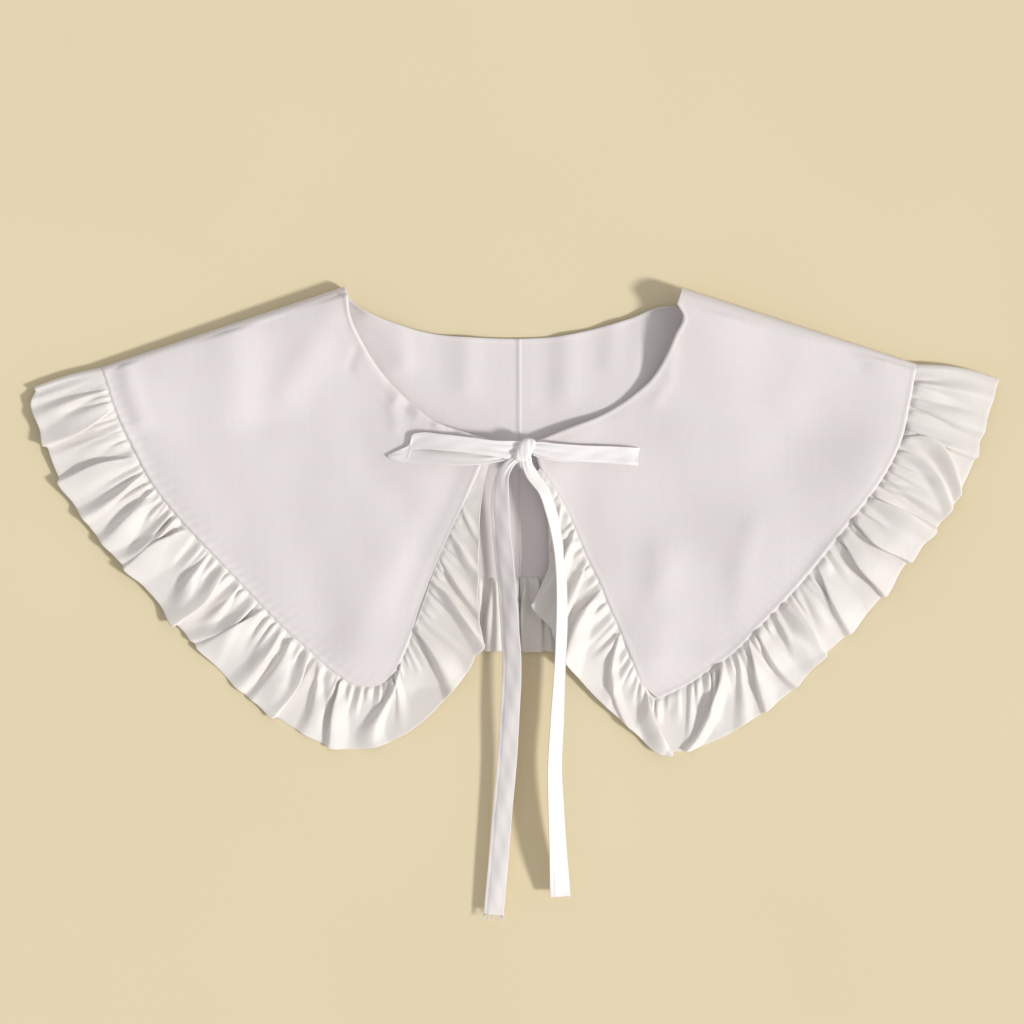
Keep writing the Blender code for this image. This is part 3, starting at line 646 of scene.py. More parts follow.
def back_half(side):
    u, v = lipped(BACK_PANEL_COLUMNS), lipped(BACK_PANEL_ROWS)
    across = down_from_fold(side)
    fold_line = NECK_POINT[side] + v[:, None] * (SHOULDER_END[side] - NECK_POINT[side])
    fold_side = fold_line + across * (roll_radius(v, side) + SEAM_GAP)[:, None]
    seam = back_lines(side)[0]
    neck_end = np.array([CENTRE_BACK_X, CENTRE_BACK_NECK_Y])
    seam[-1, 0] = CENTRE_BACK_X
    neckline = np.vstack([fold_side[0], np.array(NECKLINE_BACK[side]) * MM, neck_end])
    centre = neck_end + v[:, None] * (seam[-1] - neck_end)
    plan = coons_patch(curve_at(neckline, u), curve_at(seam, u), fold_side, centre, u, v)
    to_neck = np.linalg.norm(plan - plan[:, :1], axis=-1)
    to_point = np.linalg.norm(plan - plan[:1, :1], axis=-1)
    to_centre = np.linalg.norm(plan - plan[-1:], axis=-1)
    height = np.full(plan.shape[:-1], PLY / 2 + FLOOR_LIFT)
    neck_lift = np.exp(-to_neck / BACK_LIFT_REACH) * smoothstep(to_point / BACK_LIFT_START)
    height += BACK_LIFT * neck_lift * np.exp(-to_point / BACK_LIFT_ALONG)
    height += CENTRE_SEAM_HEIGHT * np.exp(-(to_centre / CENTRE_SEAM_WIDTH) ** 2)
    seen = smoothstep(u / CREASED_FROM_FOLD)[:, None]
    seen = seen * smoothstep((plan[..., 1] - CREASED_FROM_Y) / CREASED_OVER)
    height += seen * crease_height(plan, BACK_CREASES[side]).clip(-BACK_DIP_LIMIT, None)
    height += np.maximum(lip(to_neck), 0.0)
    points = with_height(plan, height)
    piece = add_cloth(f"collar_back_{side}", points, PLY, panel_poplin)
    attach(piece, "root")
    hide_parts(f"back_{side}")
    print(piece.name, "area", round(one_side_area(points), 4))
    return piece


back_left = back_half("left")
back_right = back_half("right")

# %% [markdown]
# ## The ruffle
#
# A strip about 38 mm wide is gathered into the seam, so many small folds start at the seam and merge
# into fewer, wider ones at the hem. Some fall over like pleats and leave a step in the hem. A cloth
# simulation would give folds of its own; here the large ones are read from the photo one by one, and
# small gathers fill the seam between them. Leaning the fold's top along the strip by its height makes
# it overhang, and that slant never lets the cloth pass through itself.
#
# A fold is: seam x, seam y, hem x, hem y in photo pixels, height and half width in mm, how far it
# falls (positive towards the tip and on to the front corner), how much its line bows in mm, and how
# much of the way to the hem it reaches. FOLD_STAND raises all the heights by one factor.

# %% Fold tables
RUFFLE_FOLDS = {
    "left": [(102, 373, 33, 399, 2.2, 5, 0.0, 0, 1), (106, 392, 39, 418, 2.6, 5, 0.0, 0, 1),
             (113, 408, 47, 441, 3.8, 8, 1.0, 0, 1), (119, 421, 60, 440, 1.8, 4, 0.0, 0, 0.5),
             (127, 437, 55, 466, 1.6, 6, 0.0, 0, 0.8), (138, 458, 62, 486, 3.6, 7, -0.9, 0, 1),
             (146, 472, 82, 518, 3.6, 5, 0.2, 2, 1), (157, 489, 106, 545, 3.6, 8, -0.4, 2, 1),
             (166, 501, 120, 555, 2.0, 4, 0.0, 0, 0.4), (181, 517, 120, 559, 3.2, 5, 0.1, 2, 1),
             (191, 531, 129, 571, 4.6, 9, -0.8, 0, 1), (211, 552, 170, 603, 3.4, 5, 0.0, 1, 0.9),
             (226, 569, 174, 619, 4.8, 8, 1.0, 0, 1), (240, 584, 190, 632, 2.6, 5, 0.0, 3, 0.9),
             (258, 600, 192, 638, 2.8, 5, 0.5, 3, 1), (266, 608, 203, 647, 3.8, 9, -0.8, 2, 1),
             (283, 625, 236, 689, 3.0, 7, 0.2, 2, 1), (296, 636, 254, 700, 3.0, 7, -0.2, 2, 1),
             (312, 649, 271, 713, 4.2, 7, 1.0, 0, 1), (321, 657, 306, 732, 2.2, 7, -0.2, 4, 1),
             (343, 679, 333, 746, 4.0, 6, -0.6, 1, 1), (404, 658, 375, 744, 3.2, 8, 0.2, -11, 1),
             (424, 630, 455, 690, 4.0, 8, -0.3, 2, 1), (442, 586, 474, 643, 3.6, 6, 0.5, 3, 1),
             (449, 560, 479, 612, 2.4, 6, -0.4, 0, 1), (455, 536, 479, 575, 2.6, 6, 0.5, 0, 1),
             (464, 508, 480, 540, 2.0, 5, -0.3, 0, 1)],
    "right": [(914, 385, 995, 397, 3.0, 7, 0.1, 0, 1), (912, 405, 979, 430, 3.0, 6, 0.3, 0, 1),
              (906, 427, 975, 455, 2.6, 6, 0.7, 0, 1),
              (901, 441, 957, 496, 4.4, 6, -0.7, -9, 1), (896, 454, 943, 506, 3.4, 5, -0.6, -6, 1),
              (882, 488, 939, 512, 2.4, 6, 0.2, -3, 1), (866, 499, 932, 534, 3.6, 7, -0.7, 0, 1),
              (852, 517, 911, 557, 4.4, 7, 1.0, 0, 1), (838, 532, 886, 590, 4.8, 8, 1.0, -1, 1),
              (816, 562, 852, 630, 3.6, 9, 0.7, 0, 1), (799, 584, 836, 640, 2.0, 6, 0.0, 0, 0.9),
              (783, 603, 823, 658, 4.4, 8, -0.9, 0, 1), (772, 612, 808, 674, 1.8, 5, 0.2, 0, 0.8),
              (758, 629, 797, 684, 3.4, 6, 0.4, 2, 1), (748, 638, 767, 708, 3.4, 6, 0.6, 0, 1),
              (735, 650, 742, 722, 2.0, 6, 0.0, 0, 1), (721, 662, 689, 748, 4.0, 6, 0.6, -5, 1),
              (639, 690, 663, 750, 6.5, 8, -1.2, 2, 1), (614, 636, 628, 728, 3.0, 7, 0.5, 3, 1),
              (600, 590, 570, 662, 4.4, 9, 0.6, 2, 1), (588, 556, 553, 634, 3.0, 8, -0.5, 0, 1),
              (576, 528, 536, 598, 3.6, 9, 0.6, 0, 1), (560, 500, 548, 545, 2.6, 7, -0.5, 0, 1)],
}
# Places where the hem pokes out in a point: hem x, hem y, share of the width, half width in mm
HEM_FLAPS = {"left": [(481, 640, 0.12, 9)], "right": [(546, 596, 0.30, 15)]}
LEAN = 0.85
STEEP_SIDE = 0.55
FOLD_CRISPNESS = 0.35
FOLD_STAND = 1.45
CREST_LIMIT = 10.0 * MM
HEM_STEP = 0.045
GATHER_SPACING = 5.6 * MM
GATHER_LONG_SHARE = 0.3
GATHER_LEAN = 0.3
GATHER_FALL = 0.4
GATHER_JITTER = 0.25
GATHER_REACH = (0.25, 0.75)
GATHER_LONG_REACH = (0.9, 1.6)
GATHER_HEIGHT = (1.4, 2.6)
GATHER_HALF_WIDTH = (2.3, 3.3)
GATHER_SWAY = 2.6
GATHER_FADE_FROM = 0.3
FOLD_FADE_FROM = 0.4
FOLD_SEAM_WIDTH = 0.35
FOLD_WIDE_FROM = 0.8
FOLD_SEAM_HEIGHT = 0.32
FOLD_HIGH_FROM = 0.5
FOLD_PEAK_POWER = 1.6
FOLD_READINGS = 2400
FULL_ROOM = 30.0 * MM
LEAST_ROOM = 0.15
SEAM_RISE = 0.1
HEM_EASE = 0.45
HEM_EASE_FROM = 0.55


def ruffle_lines(side):
    """Seam and hem points from the shoulder, round the tip, to the front corner."""
    outer, opening = outer_lines(side), opening_lines(side)
    return np.vstack([outer[0], opening[0][1:]]), np.vstack([outer[1], opening[1][1:]])


def lines_at(lines, along):
    """The seam and hem at the mean distances along a strip."""
    seam_knots, hem_knots = chord_knots(lines[0]), chord_knots(lines[1])
    mean = (seam_knots + hem_knots) / 2
    seam = smooth_curve(lines[0], seam_knots, np.interp(along, mean, seam_knots))
    hem = smooth_curve(lines[1], hem_knots, np.interp(along, mean, hem_knots))
    return seam, hem


def strip_length(lines):
    return (chord_knots(lines[0])[-1] + chord_knots(lines[1])[-1]) / 2


def fold_profile(offset, fall):
    """A fold's cross shape, 0 to 1: crisp and steep on the side that it falls to, else round."""
    crisp = min(1.0, abs(fall))
    steep = 1.0 - (1.0 - STEEP_SIDE) * crisp
    ahead = offset * (1.0 if fall >= 0 else -1.0)
    scaled = np.clip(np.where(ahead > 0, ahead / steep, -ahead / (2.0 - steep)), 0.0, 1.0)
    peaked = FOLD_CRISPNESS * crisp
    return (1.0 - smoothstep(scaled)) * (1.0 - peaked) + (1.0 - scaled) ** FOLD_PEAK_POWER * peaked


def gather_seeds(length, seed):
    """Small gathers along the seam: place, reach, height, half width and sway, all uneven."""
    random = np.random.default_rng(seed)
    count = int(length / GATHER_SPACING)
    place = (np.arange(count) + 0.5 + random.uniform(-GATHER_JITTER, GATHER_JITTER, count)) * length / count
    reach = random.uniform(*GATHER_REACH, count)
    long_ones = random.random(count) < GATHER_LONG_SHARE
    reach[long_ones] = random.uniform(*GATHER_LONG_REACH, long_ones.sum())
    height = random.uniform(*GATHER_HEIGHT, count) * MM
    half_width = random.uniform(*GATHER_HALF_WIDTH, count) * MM
    sway = random.uniform(-GATHER_SWAY, GATHER_SWAY, count) * MM
    return zip(place, reach, height, half_width, sway)


def fading(rows, reach, start):
    """1 near the seam and 0 past the reach; it starts to fall at a share of the way."""
    return 1.0 - smoothstep((rows - start * reach) / ((1.0 - start) * reach))


def ruffle_relief(along, rows, length, folds, seed, width, gather_share):
    """Height, lean and hem push of a strip at each column and row."""
    relief = np.zeros((len(along), len(rows)))
    lean = np.zeros_like(relief)
    push = np.zeros_like(relief)
    room = np.clip(width / FULL_ROOM, LEAST_ROOM, 1.0)[:, None]
    for place, reach, height, half_width, sway in gather_seeds(length, seed):
        middle = place + sway * rows**1.5
        spread = half_width * (1.0 + rows)
        shape = fold_profile((along[:, None] - middle) / spread, GATHER_FALL * np.sign(sway))
        gather = height * fading(rows, reach, GATHER_FADE_FROM) * shape * gather_share
        relief += gather
        lean += GATHER_LEAN * np.sign(sway) * gather
    for at_seam, at_hem, height, half_width, fall, bow, reach in folds:
        middle = at_seam + (at_hem - at_seam) * rows + bow * 4 * rows * (1 - rows)
        widened = smoothstep(rows / FOLD_WIDE_FROM)
        raised = smoothstep(rows / FOLD_HIGH_FROM)
        spread = half_width * (FOLD_SEAM_WIDTH + (1.0 - FOLD_SEAM_WIDTH) * widened)
        grown = height * (FOLD_SEAM_HEIGHT + (1.0 - FOLD_SEAM_HEIGHT) * raised)
        if reach < 1.0:
            grown = grown * fading(rows, reach, FOLD_FADE_FROM)
        shape = fold_profile((along[:, None] - middle) / spread, fall)
        relief += grown * shape
        lean += fall * LEAN * grown * shape
        push += HEM_STEP * min(1.0, abs(fall)) * rows**2 * shape
    out_of_seam = smoothstep(rows / SEAM_RISE)
    eased = 1.0 - HEM_EASE * smoothstep((rows - HEM_EASE_FROM) / (1.0 - HEM_EASE_FROM))
    relief *= room * out_of_seam * eased
    lean *= room * out_of_seam * eased
    limited = CREST_LIMIT * np.tanh(relief / CREST_LIMIT)
    return limited, lean, push


def folds_along(lines, folds):
    """The photo's folds with their ends as distances along the strip."""
    length = strip_length(lines)
    dense = np.linspace(0.0, length, FOLD_READINGS)
    seam, hem = lines_at(lines, dense)
    placed = []
    for seam_x, seam_y, hem_x, hem_y, height, half_width, fall, bow, reach in folds:
        at_seam = dense[np.linalg.norm(seam - spot([seam_x, seam_y]), axis=1).argmin()]
        at_hem = dense[np.linalg.norm(hem - spot([hem_x, hem_y]), axis=1).argmin()]
        placed.append((at_seam, at_hem, FOLD_STAND * height * MM, half_width * MM, fall, bow * MM, reach))
    return placed


def strip_points(lines, folds, seed, columns, rows, low_height, calm_start, gather_share, flaps):
    """A gathered strip between its seam and its hem, as columns by rows by x, y, z."""
    length = strip_length(lines)
    along = np.linspace(0.0, length, columns)
    seam, hem = lines_at(lines, along)
    run = np.gradient(seam, axis=0)
    square = np.stack([-run[:, 1], run[:, 0]], 1) / np.linalg.norm(run, axis=1)[:, None]
    square *= np.sign((square * (hem - seam)).sum(1))[:, None]
    seam = seam - square * SEAM_TUCK
    relief, lean, push = ruffle_relief(along, rows, length, folds, seed,
                                       np.linalg.norm(hem - seam, axis=1), gather_share)
    calm = smoothstep(along / calm_start)[:, None]
    relief, lean, push = relief * calm, lean * calm, push * calm
    for hem_x, hem_y, size, half_width in flaps:
        at_hem = along[np.linalg.norm(hem - spot([hem_x, hem_y]), axis=1).argmin()]
        pointed = np.clip(1.0 - np.abs(along - at_hem) / (half_width * MM), 0.0, 1.0)
        push += size * rows**3 * pointed[:, None]
    share = rows[None, :] * (1.0 + push)
    plan = seam[:, None] + (hem - seam)[:, None] * share[..., None]
    tangent = np.gradient(plan, axis=0)
    tangent /= np.maximum(np.linalg.norm(tangent, axis=-1, keepdims=True), NO_LENGTH)
    low = low_height(plan, seam, rows)
    plan = plan + tangent * lean[..., None]
    hem_ridge = HEM_FOLD_HEIGHT * np.exp(-(((rows - HEM_FOLD_PLACE) / HEM_FOLD_WIDTH) ** 2))
    return with_height(plan, low + relief + hem_ridge)


# %% Front ruffles
SEAM_TUCK = 0.5 * MM
RUFFLE_PLY = 0.5 * MM
HEM_FOLD_HEIGHT = 0.06 * MM
HEM_FOLD_PLACE = 0.955
HEM_FOLD_WIDTH = 0.02
EDGE_DROP = 0.2 * MM
CURL_POWER = 1.6
CALM_UP_TO = 0.3
FRONT_SEED = {"left": 11, "right": 23}
RUFFLE_COLUMNS = 900
CALM_OUTER = 10.0 * MM
HEM_SINK = 1.4 * MM
SHOULDER_BULGE = {"left": 1.0 * MM, "right": 2.4 * MM}
BULGE_FADE = 9.0 * MM
RUFFLE_ROWS = np.concatenate([np.linspace(0.0, 0.08, 7)[:-1], np.linspace(0.08, 0.9, 27)[:-1],
                              np.linspace(0.9, 1.0, 8)])


def front_ruffle(side):
    lines = ruffle_lines(side)
    start_line = (lines[0][0], lines[1][0])
    length = strip_length(lines)
    tip_at = strip_length(outer_lines(side))
    along = np.linspace(0.0, length, RUFFLE_COLUMNS)
    up_opening = np.clip((along - tip_at) / (length - tip_at), 0.0, 1.0)
    curl = OPENING_CURL[side] * np.sin(math.pi * up_opening ** CURL_CENTRE[side])
    gather_share = 1.0 - OPENING_CALM[side] * smoothstep(up_opening / CALM_UP_TO)

    def low(plan, seam, rows):
        edge = front_height(seam, side)[:, None] - EDGE_DROP
        rest = lying(plan, WALL_RUFFLE)
        start = start_line[0] + (start_line[1] - start_line[0]) * rows[:, None]
        top = 2 * roll_radius(1.0 + rows, side) - WALL_RUFFLE / 2
        settled = smoothstep(np.linalg.norm(plan - start[None], axis=-1) / ROLL_SETTLE_SHOULDER)
        rest = rest + (top[None] - rest) * (1.0 - settled)
        rest = np.maximum(rest - HEM_SINK * smoothstep(rows), RUFFLE_PLY / 2 + FLOOR_LIFT)
        blend = smoothstep(np.linalg.norm(plan - seam[:, None], axis=-1) / RUFFLE_SETTLE)
        return edge + (rest - edge) * blend + curl[:, None] * rows**CURL_POWER

    strip = strip_points(lines, folds_along(lines, RUFFLE_FOLDS[side]), FRONT_SEED[side],
                         RUFFLE_COLUMNS, RUFFLE_ROWS, low, CALM_OUTER, gather_share[:, None],
                         HEM_FLAPS[side])
    across = down_from_fold(side)
    fold_line = SHOULDER_END[side] + RUFFLE_ROWS[:, None] * (RUFFLE_CORNER[side] - SHOULDER_END[side])
    radius = roll_radius(1.0 + RUFFLE_ROWS, side)
    roll = roll_columns(fold_line, across, radius, WALL_RUFFLE, ROLL_STEPS)
    bulge = SHOULDER_BULGE[side] * np.sin(math.pi * RUFFLE_ROWS)[:, None] * across
    roll[..., :2] -= bulge
    strip[..., :2] -= np.exp(-along / BULGE_FADE)[:, None, None] * bulge
    points = np.concatenate([roll, strip])
    piece = add_cloth(f"ruffle_front_{side}", points, RUFFLE_PLY, ruffle_poplin)
    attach(piece, "root")
    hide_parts(f"ruffle_outer_{side}", f"ruffle_opening_{side}")
    print(piece.name, "area", round(one_side_area(points), 4), "length", round(strip_length(lines), 3))
    return piece


for side in ("left", "right"):
    ruffle = front_ruffle(side)

# %% [markdown]
# ## The ruffle of the back
#
# Most of it is hidden under the fronts, where it lies pressed flat. In the opening it shows a few
# calm folds, which are read from the photo like the others.

# %% Back ruffles
BACK_RUFFLE_FOLDS = {
    "left": [(492, 577, 491, 650, 3.6, 7, -0.3, 0, 1), (512, 577, 514, 650, 1.6, 5, 0.3, 0, 1)],
    "right": [(524, 577, 526, 650, 2.4, 5, 0.6, 0, 1), (537, 577, 539, 650, 2.2, 5, -0.6, 0, 1),
              (551, 577, 552, 650, 1.8, 5, 0.4, 0, 1)],
}
BACK_COLUMNS = 420
BACK_SEED = {"left": 5, "right": 8}
CALM_BACK = 22.0 * MM
BACK_CREST_LIMIT = 6.0 * MM
PRESSED_CREST_LIMIT = 0.9 * MM
PRESSED_FROM = 34.0 * MM
PRESSED_OVER = 20.0 * MM


def back_ruffle(side):
    def low(plan, seam, rows):
        return np.full(plan.shape[:-1], RUFFLE_PLY / 2 + FLOOR_LIFT)

    lines = back_lines(side)
    strip = strip_points(lines, folds_along(lines, BACK_RUFFLE_FOLDS[side]), BACK_SEED[side],
                         BACK_COLUMNS, RUFFLE_ROWS, low, CALM_BACK, 1.0, [])
    floor_height = RUFFLE_PLY / 2 + FLOOR_LIFT
    crest = strip[..., 2] - floor_height
    pressed = smoothstep((np.abs(strip[..., 0] - CENTRE_BACK_X) - PRESSED_FROM) / PRESSED_OVER)
    limit = BACK_CREST_LIMIT + (PRESSED_CREST_LIMIT - BACK_CREST_LIMIT) * pressed
    strip[..., 2] = floor_height + limit * np.tanh(crest / limit)
    piece = add_cloth(f"ruffle_under_{side}", strip, RUFFLE_PLY, ruffle_poplin)
    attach(piece, "root")
    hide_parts(f"ruffle_back_{side}")
    print(piece.name, "area", round(one_side_area(strip), 4), "length", round(strip_length(lines), 3))
    return piece


for side in ("left", "right"):
    ruffle = back_ruffle(side)

# %% [markdown]
# ## The tie
#
# The tie is a narrow strip, folded in and sewn along one edge, so its section is a flat tube with a
# fine seam near one side. It is drawn as stations along its path: place, height, width and tilt. The
# tails turn on edge a little as they leave the knot, and one side stands up and catches the light.
# Near the knot the cloth is bunched in a few pleats.

# %% Tie helpers
LOOP_LEFT = [(2.6, 79.7, 4.0, 7.4, 0), (-2.0, 79.0, 4.8, 9.6, 0), (-8.0, 79.5, 5.1, 8.6, 0),
             (-24.0, 81.5, 5.0, 8.3, 0), (-40.0, 83.2, 4.9, 8.6, 0), (-50.0, 84.0, 3.9, 8.7, 0),
             (-54.2, 83.2, 3.5, 8.5, 0), (-56.8, 77.6, 3.3, 8.0, 0), (-61.5, 76.4, 3.2, 5.6, 0),
             (-67.0, 76.0, 2.6, 1.0, 0), (-61.5, 75.8, 2.1, 5.4, 0), (-54.0, 76.0, 2.6, 8.4, 12),
             (-40.0, 76.0, 3.1, 10.2, 30), (-24.0, 75.0, 3.1, 9.6, 30), (-8.0, 76.0, 2.6, 6.6, 12),
             (-1.0, 77.4, 2.6, 4.6, 0)]
LOOP_RIGHT = [(9.6, 79.6, 4.0, 6.2, 0), (13.0, 79.2, 4.5, 8.0, 0), (20.0, 78.0, 4.8, 9.0, 0),
              (36.0, 77.1, 4.7, 8.6, 0), (52.0, 76.5, 4.4, 8.9, 0), (62.6, 75.7, 4.0, 9.4, 0),
              (65.2, 75.5, 3.2, 9.5, 0), (62.6, 75.8, 2.6, 9.4, 0), (52.0, 76.4, 2.5, 9.0, 0),
              (36.0, 77.2, 2.2, 8.6, 0), (20.0, 78.3, 2.0, 8.2, 0), (11.6, 79.0, 2.1, 6.4, 0)]
TAIL_LEFT = [(3.0, 76.0, 11.8, 2.4, 0), (-2.8, 71.4, 11.5, 4.6, 10), (-6.4, 65.6, 11.2, 7.6, 28),
             (-7.6, 55.9, 10.4, 10.0, 28), (-6.9, 35.8, 9.2, 10.6, 28), (-4.5, 11.4, 9.4, 10.6, 30),
             (-2.8, -13.0, 10.2, 10.6, 28), (-1.6, -32.0, 10.8, 10.6, 24),
             (-2.9, -63.3, 9.8, 10.6, 18), (-4.1, -84.0, 8.4, 10.6, 16),
             (-7.0, -115.8, 7.0, 10.6, 14), (-9.1, -141.8, 6.6, 10.6, 12),
             (-11.3, -166.2, 5.6, 10.6, 8)]
TAIL_RIGHT = [(6.0, 76.0, 11.8, 4.4, 0), (6.6, 71.0, 11.7, 5.4, -14), (8.9, 66.0, 11.8, 7.6, -35),
              (14.8, 58.0, 12.0, 9.4, -52), (19.2, 45.8, 11.6, 10.6, -58),
              (22.5, 29.9, 11.4, 10.6, -62), (24.6, 3.4, 13.8, 10.6, -60),
              (24.4, -16.7, 14.6, 10.6, -57), (23.6, -34.0, 14.2, 10.6, -58),
              (22.0, -63.3, 14.0, 10.6, -50), (20.8, -89.3, 14.6, 10.6, -47),
              (21.5, -110.5, 13.8, 10.6, -40), (22.8, -136.5, 10.6, 10.6, -30),
              (23.9, -156.6, 6.2, 10.6, -6)]
TIE_PLY = 0.7 * MM
ACROSS_TIE = np.concatenate([np.linspace(-1.0, -0.82, 6)[:-1], np.linspace(-0.82, 0.82, 14)[:-1],
                             np.linspace(0.82, 1.0, 6)])
TIE_SEAM_PLACE = -0.72
TIE_SEAM_WIDTH = 0.07
TIE_SEAM_DEPTH = 0.28 * MM
TIE_CROWN = 0.35 * MM
TIE_WRINKLE = 0.22 * MM
# Size, length in mm along the tie, slant across it, and how fast the seed turns it
TIE_WAVES = [(1.0, 7.3, 2, 1), (0.6, 2.9, -3, 2)]
LOOP_PLEAT = 1.0 * MM
TAIL_PLEAT = 0.4 * MM
ROOT_REACH = 9.0 * MM
ROOT_PLEATS = 2.5
LOOP_STEPS = 170
TAIL_STEPS = 420


def tie_points(stations, count, on_panel, seed):
    """A tie's surface along its stations, with its crown, seam and small wrinkles."""
    rows = np.array(stations, dtype=float)
    rows[:, :4] *= MM
    knots = chord_knots(rows[:, :3])
    path = smooth_curve(rows, knots, np.linspace(0.0, knots[-1], count))
    if on_panel:
        first = rows[3, :2] - rows[1, :2]
        side = np.tile([-first[1], first[0]] / np.linalg.norm(first), (count, 1))
    else:
        run = np.gradient(path[:, :2], axis=0)
        side = np.stack([-run[:, 1], run[:, 0]], 1) / np.linalg.norm(run, axis=1)[:, None]
        side = np.where(side[:, :1] < 0, -side, side)
    tilt = np.radians(path[:, 4])
    half = path[:, 3] / 2
    cross = np.column_stack([side * np.cos(tilt)[:, None], np.sin(tilt)])
    run = np.gradient(path[:, :3], axis=0)
    run /= np.linalg.norm(run, axis=1)[:, None]
    normal = np.cross(cross, run)
    if not on_panel:
        normal *= np.sign(normal[:, 2:] + NO_LENGTH)
    points = path[:, None, :3] + cross[:, None] * (half[:, None] * ACROSS_TIE)[..., None]
    if on_panel:
        points[..., 2] += front_height(path[:, None, :2] + 0 * points[..., :2], on_panel)
    from_knot = np.linspace(0.0, knots[-1], count)[:, None]
    length = from_knot / MM
    crown = TIE_CROWN * (1.0 - ACROSS_TIE**2)
    seam = -TIE_SEAM_DEPTH * np.exp(-((ACROSS_TIE - TIE_SEAM_PLACE) / TIE_SEAM_WIDTH) ** 2)
    wrinkle = sum(size * np.sin(length / step + slant * ACROSS_TIE + turn * seed)
                  for size, step, slant, turn in TIE_WAVES)
    wrinkle = TIE_WRINKLE * wrinkle * (1 - ACROSS_TIE**2)
    if on_panel:
        from_knot = np.minimum(from_knot, from_knot[::-1])
    pleat = LOOP_PLEAT if on_panel else TAIL_PLEAT
    gathered = pleat * np.exp(-from_knot / ROOT_REACH) * np.sin(ROOT_PLEATS * math.pi * ACROSS_TIE + seed)
    return points + normal[:, None] * (crown + seam + wrinkle + gathered)[..., None]


def add_tie(name, node, stations, count, on_panel, seed):
    points = tie_points(stations, count, on_panel, seed)
    piece = add_cloth(name, points, TIE_PLY, tie_poplin)
    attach(piece, "root")
    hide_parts(node)
    print(piece.name, "area", round(one_side_area(points), 5))
    return piece, points


# %% Tie loops and tails
loop_left, _ = add_tie("tie_loop_left", "bow_loop_left", LOOP_LEFT, LOOP_STEPS, "left", 0.3)
loop_right, _ = add_tie("tie_loop_right", "bow_loop_right", LOOP_RIGHT, LOOP_STEPS, "right", 1.7)
tail_left, left_points = add_tie("tie_end_left", "tie_tail_left", TAIL_LEFT, TAIL_STEPS, None, 0.9)
tail_right, right_points = add_tie("tie_end_right", "tie_tail_right", TAIL_RIGHT, TAIL_STEPS, None, 2.6)

# %% [markdown]
# ## The knot
#
# The knot is one turn of the tie wrapped over the crossing, so it is a small cushion with slanting
# folds. A rounded block of points that leans to the right is pressed in along a few lines, which reads
# as the wrapped strip. A groove is its place, its slant and its depth.

# %% Knot
KNOT_MIDDLE = np.array([5.2, 79.0]) * MM
KNOT_SHEAR = 0.34
KNOT_HALF = np.array([4.6, 6.3, 3.4]) * MM
KNOT_HEIGHT = 11.4 * MM
KNOT_GROOVES = [(-0.15, 0.9, 0.10), (0.62, 1.2, 0.5), (-0.7, 1.6, 0.3)]
KNOT_COLUMNS = 96
KNOT_ROWS = 49
CORNER_POWER = 0.55
EDGE_POWER = 0.5
TOP_POWER = 0.8
GROOVE_SLANT = 0.35
GROOVE_WIDTH = 0.13
GROOVE_SINK = 0.28
GROOVE_LOWEST = -0.2
GROOVE_PINCH = 0.1
KNOT_UNEVEN = 0.03
KNOT_WAIST = 0.12


def knot_points():
    turn = np.linspace(0.0, 2 * math.pi, KNOT_COLUMNS, endpoint=False)[:, None]
    climb = np.linspace(-math.pi / 2, math.pi / 2, KNOT_ROWS)[None]
    flat = np.cos(climb)

    def squared(value, power):
        return np.sign(value) * np.abs(value) ** power

    x = squared(np.cos(turn), CORNER_POWER) * squared(flat, EDGE_POWER)
    y = squared(np.sin(turn), CORNER_POWER) * squared(flat, EDGE_POWER)
    z = squared(np.sin(climb), TOP_POWER) + 0 * turn
    sunk = np.zeros_like(x)
    for place, slant, depth in KNOT_GROOVES:
        sunk += depth * np.exp(-(((x - place + slant * GROOVE_SLANT * y) / GROOVE_WIDTH) ** 2))
    size = 1.0 - GROOVE_SINK * sunk * (z > GROOVE_LOWEST)
    size *= 1.0 + KNOT_UNEVEN * np.sin(5 * x + 3 * y)
    leaning = KNOT_SHEAR * KNOT_HALF[1] * y
    return np.stack([KNOT_MIDDLE[0] + KNOT_HALF[0] * x * (1 - GROOVE_PINCH * sunk) + leaning,
                     KNOT_MIDDLE[1] + KNOT_HALF[1] * y * (1 - KNOT_WAIST * np.abs(x)),
                     KNOT_HEIGHT + KNOT_HALF[2] * z * size], -1)


knot = add_mesh("tie_knot", knot_points(), grid_faces(KNOT_COLUMNS, KNOT_ROWS, closed=True), tie_poplin)
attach(knot, "root")
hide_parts("bow_knot")

# %% [markdown]
# ## Frayed ends
#
# The tails are cut raw, so a few threads stand out of each end. Each thread is a bent strip, thinner
# than a pixel in the real cloth and drawn 0.3 mm thick so that it shows.

# %% Frayed threads
THREAD_THICK = 0.3 * MM
THREAD_TAPER = 0.5
THREAD_ROOT = 0.4 * MM
THREAD_LOWEST = 0.4 * MM
THREAD_SHORTEST = 0.35
THREAD_BEND = np.array([0.8, 0.5, 0.35])
THREAD_STEPS = 4
THREAD_CORNERS = (0.0, 2.1, 4.2)


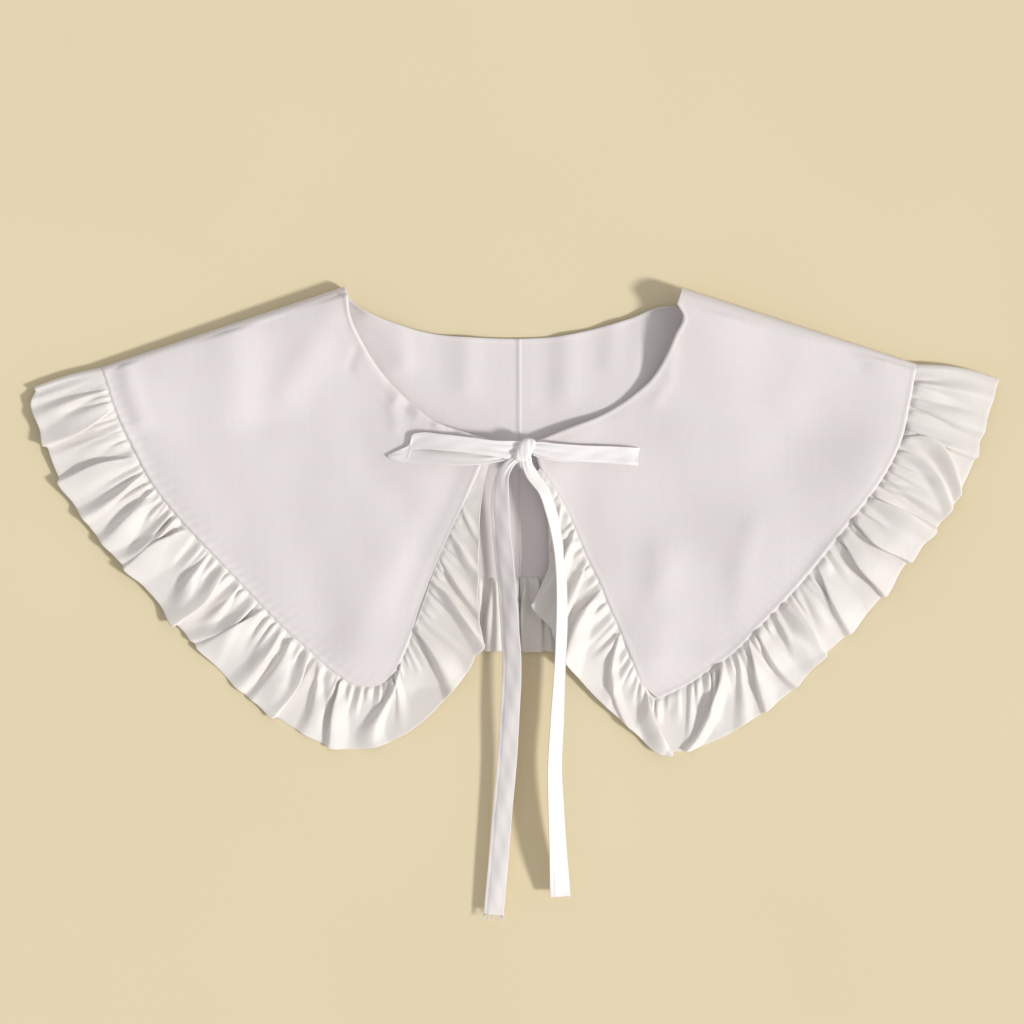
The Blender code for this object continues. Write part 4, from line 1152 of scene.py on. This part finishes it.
def fray(name, tie, threads, longest, seed):
    """Bent threads that stand out of the end of a tie's points."""
    random = np.random.default_rng(seed)
    end = tie[-1]
    outward = (tie[-1] - tie[-4]).mean(0)
    outward /= np.linalg.norm(outward)
    around = len(THREAD_CORNERS)
    points, faces = [], []
    for index in range(threads):
        root = end[random.integers(0, len(end))] - outward * THREAD_ROOT
        bend = random.uniform(-1.0, 1.0, 3) * THREAD_BEND
        length = random.uniform(THREAD_SHORTEST, 1.0) * longest
        for step in range(THREAD_STEPS + 1):
            share = step / THREAD_STEPS
            place = root + (outward + bend * share) * length * share
            place[2] = max(place[2], THREAD_LOWEST)
            thick = THREAD_THICK * (1.0 - THREAD_TAPER * share) / 2
            for angle in THREAD_CORNERS:
                points.append(place + thick * np.array([math.cos(angle), 0.0, math.sin(angle)]))
        for step in range(THREAD_STEPS):
            base = (index * (THREAD_STEPS + 1) + step) * around
            for corner in range(around):
                beside = (corner + 1) % around
                faces.append([base + corner, base + beside, base + around + beside, base + around + corner])
    piece = add_mesh(name, np.array(points), np.array(faces), tie_poplin)
    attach(piece, "root")
    return piece


fray_left = fray("tie_threads_left", left_points, 44, 4.6 * MM, 4)
fray_right = fray("tie_threads_right", right_points, 16, 2.0 * MM, 9)

# %% [markdown]
# ## Surface and light
#
# The collar lies on a plain pale surface. One broad lamp stands to the right and a little towards the
# viewer, low enough for the tails to throw shadows to the left, and the room fills the shade.

# %% Floor, lamps and room
FLOOR_HALF = 2.0
FLOOR_ROUGHNESS = 0.85
FLOOR_CLOUDS = 5.0
LAMP_SPREAD = math.radians(8.0)
LAMP_STRENGTH = 2.55
LAMP_COLOUR = (1.0, 0.99, 0.97)
LAMP_RISE = math.radians(37.0)
LAMP_TURN = math.radians(-22.0)
ROOM_LIGHT = 0.565
ROOM_COLOUR = (0.99, 0.975, 0.985, 1.0)

floor_material = bpy.data.materials.new("painted board")
floor_material.use_nodes = True
floor_place = add_node(floor_material, "ShaderNodeTexCoord").outputs["Object"]
floor_cloud = add_noise(floor_material, floor_place, FLOOR_CLOUDS, CLOUD_DETAIL)
set_inputs(floor_material, floor_material.node_tree.nodes["Principled BSDF"], {
    "Roughness": FLOOR_ROUGHNESS, "Base Color": add_tint(floor_material, floor_cloud, "ddcfab", "e1d4b2")})
floor_mesh = bpy.data.meshes.new("floor")
floor_mesh.from_pydata([(-FLOOR_HALF, -FLOOR_HALF, 0), (FLOOR_HALF, -FLOOR_HALF, 0),
                        (FLOOR_HALF, FLOOR_HALF, 0), (-FLOOR_HALF, FLOOR_HALF, 0)], [], [(0, 1, 2, 3)])
floor_mesh.materials.append(floor_material)
floor = bpy.data.objects.new("floor", floor_mesh)
bpy.context.scene.collection.objects.link(floor)

lamp_data = bpy.data.lights.new("soft lamp", "SUN")
lamp_data.angle = LAMP_SPREAD
lamp_data.energy = LAMP_STRENGTH
lamp_data.color = LAMP_COLOUR
lamp = bpy.data.objects.new("soft lamp", lamp_data)
lamp.rotation_euler = (math.pi / 2 - LAMP_RISE, 0.0, LAMP_TURN + math.pi / 2)
bpy.context.scene.collection.objects.link(lamp)

room = bpy.data.worlds.new("room")
room.use_nodes = True
sky = room.node_tree.nodes["Background"]
sky.inputs["Color"].default_value = ROOM_COLOUR
sky.inputs["Strength"].default_value = ROOM_LIGHT
bpy.context.scene.world = room
bpy.context.scene.view_settings.view_transform = "Standard"
